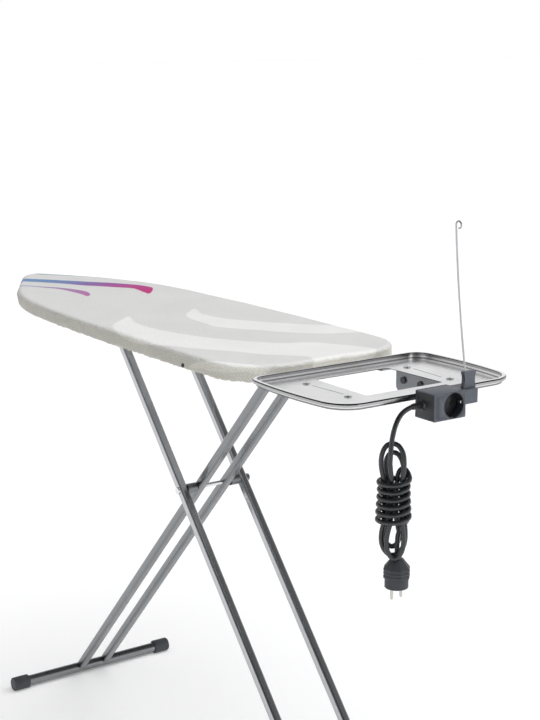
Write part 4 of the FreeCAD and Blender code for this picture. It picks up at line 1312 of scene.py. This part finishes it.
    def strain_relief(self) -> None:
        """Makes the gland: a flanged nut and a ribbed, tapering boot."""
        start = middle("cable_gland")
        start.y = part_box("cable_gland")[1].y
        profile = [(0, 0), (0, 5.3), (2.5, 5.3), (2.5, 9.0), (4.2, 9.0), (4.8, 8.2), (6.0, 6.6)]
        for rib in range(5):
            at, size = 7.0 + rib * 3.0, 6.6 - rib * 0.36
            profile += [(at, size), (at + 1.4, size - 0.1), (at + 1.7, size - 0.9),
                        (at + 2.7, size - 1.0)]
        profile += [(22.4, 5.0), (24.3, 4.6), (24.5, 0)]
        shape = turned(profile, start, Vector((0, -1, 0)), 40)
        piece = to_object(shape, "lead_boot", 35)
        settle(piece, self.palette["sheath"], "board", "lead_rubber", "cable_gland")


# ---------------------------------------------------------------- socket box
@dataclass
class SocketBox:
    """The socket's moulded front, dark plates of painted shade and contact, and the eyelet above it
    in the skirt.

    Attributes:
        edge_mm: radius of the moulded edges.
        recess_mm: radius of the opening that the insert fills.
        depth_mm: depth of that opening.
        rib_mm: distance of the first groove from the box's side, pitch and width.
        shade_plate_mm: how far a dark plate of painted shade stands out, and how far it reaches in.
        eyelet_at: place of the drawcord's eyelet along the skirt, and its height, in metres.
    """

    palette: Palette
    edge_mm: float = 1.6
    recess_mm: float = 21.0
    depth_mm: float = 22.0
    rib_mm: tuple[float, float, float] = (2.6, 1.9, 0.7)
    shade_plate_mm: tuple[float, float] = (0.6, 0.4)
    eyelet_at: tuple[float, float] = (0.231, 0.8765)

    def block(self, low: Vector, high: Vector, radius: float, segments: int = 4) -> Shape:
        """A box with rounded edges.

        Args:
            low: lowest corner.
            high: highest corner.
            radius: the edges' radius in millimetres.
            segments: steps round an edge.

        Returns:
            The block.
        """
        shape = bmesh.new()
        bmesh.ops.create_cube(shape, size=1.0)
        bmesh.ops.scale(shape, vec=high - low, verts=shape.verts)
        bmesh.ops.translate(shape, vec=(low + high) / 2, verts=shape.verts)
        bmesh.ops.bevel(shape, geom=shape.edges[:], affect="EDGES", offset=radius * MM,
                        segments=segments, profile=0.5, material=-1)
        return shape

    def housing(self) -> None:
        """Makes the rounded front with its round opening and three fine grooves."""
        low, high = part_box("socket_housing")
        centre = middle("socket_insert")
        body = to_object(self.block(low, high, self.edge_mm), "socket_front", 32)
        start = Vector((high.x - self.depth_mm * MM, centre.y, centre.z))
        length = self.depth_mm + 5
        tools = [turned(((0, 0), (0, self.recess_mm), (length, self.recess_mm), (length, 0)),
                        start, Vector((1, 0, 0)), 96)]
        first, pitch, wide = self.rib_mm
        for rib in range(3):
            y = low.y + (first + rib * pitch) * MM
            tools.append(self.block(Vector((high.x - 0.5 * MM, y, low.z + 4 * MM)),
                                    Vector((high.x + 1 * MM, y + wide * MM, high.z - 4 * MM)),
                                    0.1, 1))
        for tool in tools:
            bmesh.ops.recalc_face_normals(tool, faces=tool.faces)
            cutter = to_object(tool, "cutter", None)
            cut = body.modifiers.new("cut", "BOOLEAN")
            cut.object, cut.operation, cut.solver = cutter, "DIFFERENCE", "EXACT"
        bpy.context.view_layer.update()
        solved = body.evaluated_get(bpy.context.evaluated_depsgraph_get())
        mesh = bpy.data.meshes.new_from_object(solved)
        for cut in list(body.modifiers):
            bpy.data.objects.remove(cut.object)
        body.modifiers.clear()
        body.data = mesh
        mesh.name = "socket_front"
        settle(body, self.palette["shell"], "board", "socket_plastic", "socket_housing")

    def shade_plates(self) -> None:
        """Makes thin dark plates on the lead's side: painted shade, put where that side is in deep
        shade.
        """
        out, into = self.shade_plate_mm
        plates = []
        for name in ("socket_housing", "socket_back"):
            low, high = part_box(name)
            plates.append(self.block(low + Vector((1.1, -out, 1.9)) * MM,
                                     Vector((high.x, low.y, high.z))
                                     + Vector((-1.9, into, -1.9)) * MM, 0.4, 2))
        shape = merged(plates)
        piece = to_object(shape, "socket_shade_plates", 32)
        settle(piece, self.palette["cheek"], "board", "socket_plastic")

    def eyelet(self) -> None:
        """Makes the dark eyelet in the skirt that the drawcord comes out of."""
        profile = ((0.3, 0), (0.3, 1.6), (1.1, 2.0), (1.3, 2.8), (0.9, 3.5), (0, 3.7), (-1.0, 3.7),
                   (-1.0, 0))
        along, height = self.eyelet_at
        at = Vector((along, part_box("cover")[0].y, height))
        shape = turned(profile, at, Vector((0, -1, 0)), 28)
        piece = to_object(shape, "drawcord_eyelet", 32)
        settle(piece, self.palette["insert"], "board", "dark_plastic")

    def contact(self) -> None:
        """Makes a bright contact at the recess's side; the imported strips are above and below."""
        mouth = middle("socket_insert")
        mouth.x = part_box("socket_insert")[1].x
        strip = self.block(mouth + Vector((-9, 16.2, 0.5)) * MM,
                           mouth + Vector((-3, 18.6, 5)) * MM, 0.5, 2)
        settle(to_object(strip, "side_contact", 32), self.palette["bright"], "board",
               "stainless_sheet")

    def build(self) -> None:
        """Makes the pieces."""
        self.housing()
        self.contact()
        self.shade_plates()
        self.eyelet()


# ---------------------------------------------------------------- metalwork and mouldings
@dataclass
class Metalwork:
    """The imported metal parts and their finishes."""

    palette: Palette

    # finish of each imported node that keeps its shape
    finishes: ClassVar[dict[str, tuple[str, ...]]] = {
        "tube": ("outer_leg_left", "outer_leg_right", "outer_foot_bar", "slide_bar"),
        # inner frame: the darker copy of the tube's chrome, painted shade
        "satin_tube": ("inner_leg_left", "inner_leg_right", "inner_foot_bar", "hinge_tube"),
        "bright": ("pivot_rod",),
        "sheet": ("tray",),
        "zinc": ("height_rack", "hinge_bracket", "hinge_pin", "lever_bracket", "lever_pin",
                 "lever_spring", "release_lever", "slide_rail_left", "slide_rail_right",
                 "tray_arm_left", "tray_arm_right", "tray_bracket_left", "tray_bracket_right",
                 "arm_bolts", "pivot_nut", "pivot_spacer_left", "pivot_spacer_right"),
        "spring": ("cable_rod", "rim_hook", "earth_contacts"),
        "brass": ("pin_contacts",),
        "paint": ("ironing_panel", "board_rim", "front_cross_brace", "rear_cross_brace"),
        "shell": ("socket_back", "rod_holder", "rod_clip"),
        "insert": ("socket_insert", "bracket_buffers"),
        "feet": ("inner_foot_cap_left", "inner_foot_cap_right", "outer_foot_cap_left",
                 "outer_foot_cap_right", "lever_grip", "arm_block_left", "arm_block_right"),
    }

    # height above the rest and radius over one semi-tubular rivet's head, and over its tail
    rivet_head: ClassVar[Tones] = (
        (0, 0), (0, 7.0), (1.0, 7.0), (1.7, 6.4), (1.9, 5.4), (1.9, 1.6), (1.4, 1.2), (1.4, 0))
    rivet_tail: ClassVar[Tones] = (
        (0, 0), (0, 4.0), (1.0, 4.0), (1.4, 3.4), (1.4, 0))

    def rivets(self) -> None:
        """Makes the four rivet heads on the rest, each with its hollow."""
        low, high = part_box("tray_rivets")
        inset = 5.0 * MM
        floor, up = drawn(0, 0, 0).z, Vector((0, 0, 1))
        parts = []
        for x in (low.x + inset, high.x - inset):
            for y in (low.y + inset, high.y - inset):
                parts.append(turned(self.rivet_head, Vector((x, y, floor)), up, 32))
                parts.append(turned(self.rivet_tail, Vector((x, y, low.z + 1.4 * MM)), -up, 32))
        piece = to_object(merged(parts), "rest_rivets", 32)
        settle(piece, self.palette["bright"], "board", "stainless_sheet", "tray_rivets")

    def build(self) -> None:
        """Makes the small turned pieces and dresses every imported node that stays."""
        self.rivets()
        for finish, names in self.finishes.items():
            for name in names:
                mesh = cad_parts[name].data
                mesh.materials.clear()
                mesh.materials.append(self.palette[finish])
                LOG.info("node %s in %s", name, finish)


def main() -> None:
    """Builds the sub-assemblies in order."""
    palette = Palette()
    Studio().build()
    Lead(palette).build()
    ClothTop(palette).build()
    SocketBox(palette).build()
    Metalwork(palette).build()


if __name__ == "__main__":
    logging.basicConfig(level=logging.INFO, format="%(name)s: %(message)s")
    main()
